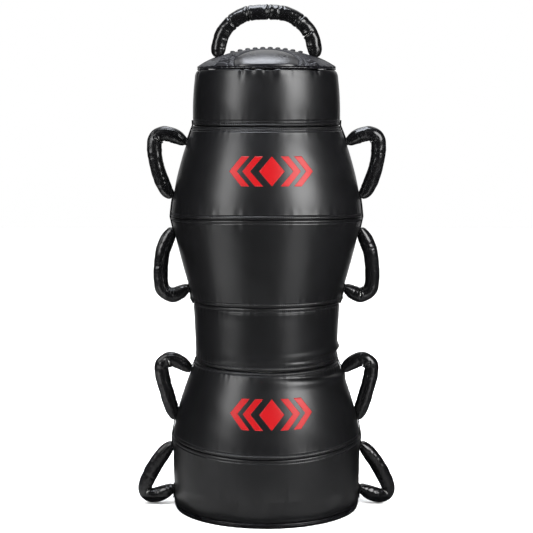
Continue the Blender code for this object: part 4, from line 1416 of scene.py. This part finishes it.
for word, side in HALVES:
    rows = []
    for past in (4.2, 14.0):
        turn, arc = np.linspace(-1.42, 1.42, 200), SEAM_RADIUS + past * MM
        x, y = arc * np.sin(turn), -SEAM_CENTRE + arc * np.cos(turn)
        inside = np.hypot(x, y) < RIM_RADIUS - 3 * MM
        rows.append(crown_row(x[inside], -side * y[inside]))
    x = np.linspace(-0.158, 0.158, 200)
    outside = np.hypot(x, HEM * MM - SEAM_CENTRE) > SEAM_RADIUS + 16 * MM
    rows.append(crown_row(x, np.full(200, side * HEM * MM)))
    total += sew_rows(f"crown_{word}_stitches", rows)
print("stitches in all", total)

# %% [markdown]
# ## The printed mark
#
# Two thin marks are pressed on the front, a diamond between nested chevrons in red vinyl. Each
# stroke is a quadrilateral in flat millimetres, cut into a grid and laid on the skin by direction
# and height, a fraction of a millimetre proud.

# %% Print the marks
vinyl = new_material("printed_vinyl", "#96040a", 0.38, IOR=1.5, Specular_IOR_Level=0.3)[0]
MARK_SHIFT = 12


def chevron(inner, width, half_height, lean):
    """The inner edge of one chevron that points away from the middle, and its outer edge."""
    edge = np.array([(inner, half_height), (inner + lean, 0), (inner, -half_height)], float)
    return edge, edge + [width, 0]


HALF_TALL = 36.0
diamond = np.array([(0, HALF_TALL), (29, 0), (0, -HALF_TALL)], float)
strokes = [(diamond * [-1, 1], diamond)]
for inner in (20, 51):
    near, far = chevron(inner, 18, HALF_TALL, 29)
    strokes += [(near, far), (far * [-1, 1], near * [-1, 1])]


def print_mark(name, height):
    """Between a stroke's two edges, straight rungs: a grid that is laid on the skin, front and back."""
    points, faces, count = [], [], 0
    down, across = np.linspace(0, 2, 33), np.linspace(0, 1, 13)[None, :, None]
    slope = np.hypot(1, float(skin_slope(np.array(height))))
    for near, far in strokes:
        left, right = (
            np.stack([np.interp(down, (0, 1, 2), edge[:, k]) for k in (0, 1)], -1)[:, None]
            for edge in (near, far)
        )
        flat = left + (right - left) * across
        level = height + flat[..., 1] * MM / slope
        azimuth = (flat[..., 0] + MARK_SHIFT) * MM / skin_radius(level)
        made = sheet_of(skin_point(azimuth, level, 0.28 * MM), skin_point(azimuth, level, 0.02 * MM))
        points.append(made[0])
        faces.append(made[1] + count)
        count += len(made[0])
    made = to_mesh(name, np.concatenate(points), np.concatenate(faces), vinyl)
    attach(made, "root")


print_mark("upper_mark", 0.8146)
print_mark("lower_mark", 0.2645)
print("marks", 2, "of", len(strokes), "strokes")

# %% [markdown]
# ## What stays out of sight
#
# The foam, the rags, the sand and the pads are inside, so their plain solids stay. Each still gets
# a finish with its own texture: a pile of chopped cloth is mottled, sand is grainy, foam is
# pitted.

# %% Finishes for the filling


def mottled(name, dark, light, grain, roughness):
    """Two colours mixed by noise of a real grain size, with the same noise as relief."""
    made, tree, shader = new_material(name, dark, roughness)
    place = add(tree, "ShaderNodeTexCoord").outputs["Object"]
    noise = add(tree, "ShaderNodeTexNoise", {"Vector": place, "Scale": 1 / grain, "Detail": 3.0})
    speckle = noise.outputs["Fac"]
    shades = {"Factor": speckle, "A": linear(dark), "B": linear(light)}
    tint = add(tree, "ShaderNodeMix", shades, data_type="RGBA")
    bump = add(tree, "ShaderNodeBump", {"Height": speckle, "Strength": 0.5, "Distance": 0.3 * grain})
    tree.links.new(first_output(tint, "RGBA"), shader.inputs["Base Color"])
    tree.links.new(bump.outputs["Normal"], shader.inputs["Normal"])
    return made


foam = mottled("open_cell_foam", "#b9b9b4", "#dcdcd6", 1.5 * MM, 0.9)
rags = mottled("shredded_textile", "#4a4e57", "#8d8f96", 12 * MM, 0.95)
sand = mottled("sewn_sand", "#a08a62", "#c8b48a", 1.0 * MM, 0.95)


def inner_shell(name, node, outer_r, outer_z, inner_r, inner_z):
    """A closed profile turned about the axis, for a layer that the creases need pushed inwards."""
    made = turned(name, np.concatenate([outer_r, inner_r]), np.concatenate([outer_z, inner_z]), foam)
    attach(made, "root")
    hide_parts(node)


levels = np.linspace(0.026, RIM - 6 * MM, 40)
outside, inside = skin_radius(levels) - 8 * MM, skin_radius(levels) - 14 * MM
inner_shell("foam_sheet", "foam_lining", outside, levels, inside[::-1], levels[::-1])
share = np.linspace(0, 1, 12)
pad_r = (RIM_RADIUS - 14 * MM) * share
pad_top = RIM - 8 * MM + 32 * MM * (1 - share**2)
inner_shell("foam_pad", "crown_pad", pad_r, pad_top, pad_r[::-1], 0 * pad_r + RIM - 12 * MM)
for node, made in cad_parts.items():
    kind = rags if node == "rag_fill" else sand
    if node in ("rag_fill", "sand_tube"):
        for slot in made.material_slots:
            slot.material = kind
for core in handle_foams:
    core.data.materials[0] = foam
print("foam in", len(handle_foams), "handles, the lining and the crown's pad")

# %% [markdown]
# ## Floor and light
#
# The floor is white and matt and the world behind it is white to the lens only. What the bag sees
# of the world is a hundredth as bright, so that the lamps alone shape it.

# %% Floor and world
floor_paint = new_material("pale_floor", "#f7f7f7", 0.9)[0]
bpy.ops.mesh.primitive_plane_add(size=16.0)
floor = bpy.context.object
floor.name = "floor"
floor.data.materials.append(floor_paint)
floor.visible_glossy = False

WORLD_SEEN, WORLD_LIGHT = 1.0, 0.010
world = bpy.data.worlds.new("studio")
bpy.context.scene.world = world
world.use_nodes = True
sky = world.node_tree
backdrop = sky.nodes["Background"]
backdrop.inputs["Color"].default_value = (1, 1, 1, 1)
backdrop.inputs["Strength"].default_value = WORLD_SEEN
dim = add(sky, "ShaderNodeBackground", {"Color": (1, 1, 1, 1), "Strength": WORLD_LIGHT})
seen = add(sky, "ShaderNodeLightPath").outputs["Is Camera Ray"]
mixed = add(sky, "ShaderNodeMixShader", {0: seen, 1: dim.outputs[0], 2: backdrop.outputs[0]})
sky.links.new(mixed.outputs[0], sky.nodes["World Output"].inputs["Surface"])
print("world", WORLD_SEEN, "to the lens,", WORLD_LIGHT, "as light")

# %% [markdown]
# Black satin shows its lights more than its own colour. Two tall soft boxes, one to each side of
# the lens and hung high, draw the two upright bands down the bag. Two long lit cards on the floor
# carry the bands on over the panels that face downwards, and five small ones near the bag light
# what faces the floor. One box above lights the crown and the tops of the handles, a small one
# behind is what the crown's front panel mirrors, and a box and a pale wall at the back give the
# thin bright edge down both sides. All else is dark to the bag's reflections: the floor is washed
# by a lamp that lights nothing else.

# %% Lamps
# Each low card: its name, its direction in degrees and its power in watts.
LOW_CARDS = (
    ("far_left", -88, 0.36), ("left", -48, 0.35), ("front", -8, 0.27), ("right", 32, 0.34),
    ("far_right", 72, 0.13),
)


def soft_box(name, place, target, size, watts):
    """A rectangular lamp of a size (width, height) that faces a point."""
    data = bpy.data.lights.new(name, "AREA")
    data.shape = "RECTANGLE"
    data.size, data.size_y = size
    data.energy = watts
    made = linked(name, data)
    made.location = place
    made.rotation_euler = (Vector(target) - Vector(place)).to_track_quat("-Z", "Y").to_euler()
    return made


def floor_card(name, degrees, centre, size, watts):
    """A lamp flat on the floor, facing up, in a direction from the bag, that the lens doesn't see."""
    turn = math.radians(degrees)
    place = (centre * math.sin(turn), -centre * math.cos(turn), 0.02)
    made = soft_box(name, place, (place[0], place[1], 1.0), size, watts)
    made.rotation_euler = (math.pi, 0.0, turn)
    made.visible_camera = False


right_box = soft_box("right_box", (1.83, -1.85, 1.85), (0, 0, 1.1), (1.5, 1.7), 92)
right_box.rotation_euler.rotate_axis("Z", math.radians(12))
soft_box("left_box", (-1.95, -1.72, 1.8), (0, 0, 1.1), (1.0, 1.8), 43)
overhead = soft_box("overhead_box", (-0.3, -0.22, 3.1), (0, 0, 0.8), (1.0, 1.7), 72)
crown_box = soft_box("crown_box", (-0.15, 1.235, 3.12), (0, -0.14, 1.08), (0.95, 0.36), 15)
overhead.data.color = crown_box.data.color = (0.88, 0.92, 1.0)
soft_box("rear_box", (0.0, 1.9, 3.2), (0, 0, 1.0), (3.6, 2.4), 26)
soft_box("back_wall", (0.0, 2.5, 1.1), (0, 0, 1.0), (3.0, 2.6), 17).visible_camera = False
floor_card("left_card", -56, 1.65, (0.75, 1.6), 6.6)
floor_card("right_card", 38, 1.65, (0.60, 1.6), 5.2)
for name, degrees, watts in LOW_CARDS:
    floor_card(f"{name}_low_card", degrees, 0.50, (0.42, 0.52), watts)
wash = soft_box("floor_wash", (0.0, 0.0, 6.0), (0, 0, 0), (22.0, 22.0), 3000)
wash.visible_glossy = wash.visible_camera = False
lit = bpy.data.collections.new("lit_by_wash")
lit.objects.link(floor)
wash.light_linking.receiver_collection = lit
bpy.context.scene.view_settings.view_transform = "Standard"
print("lamps", len(bpy.data.lights))
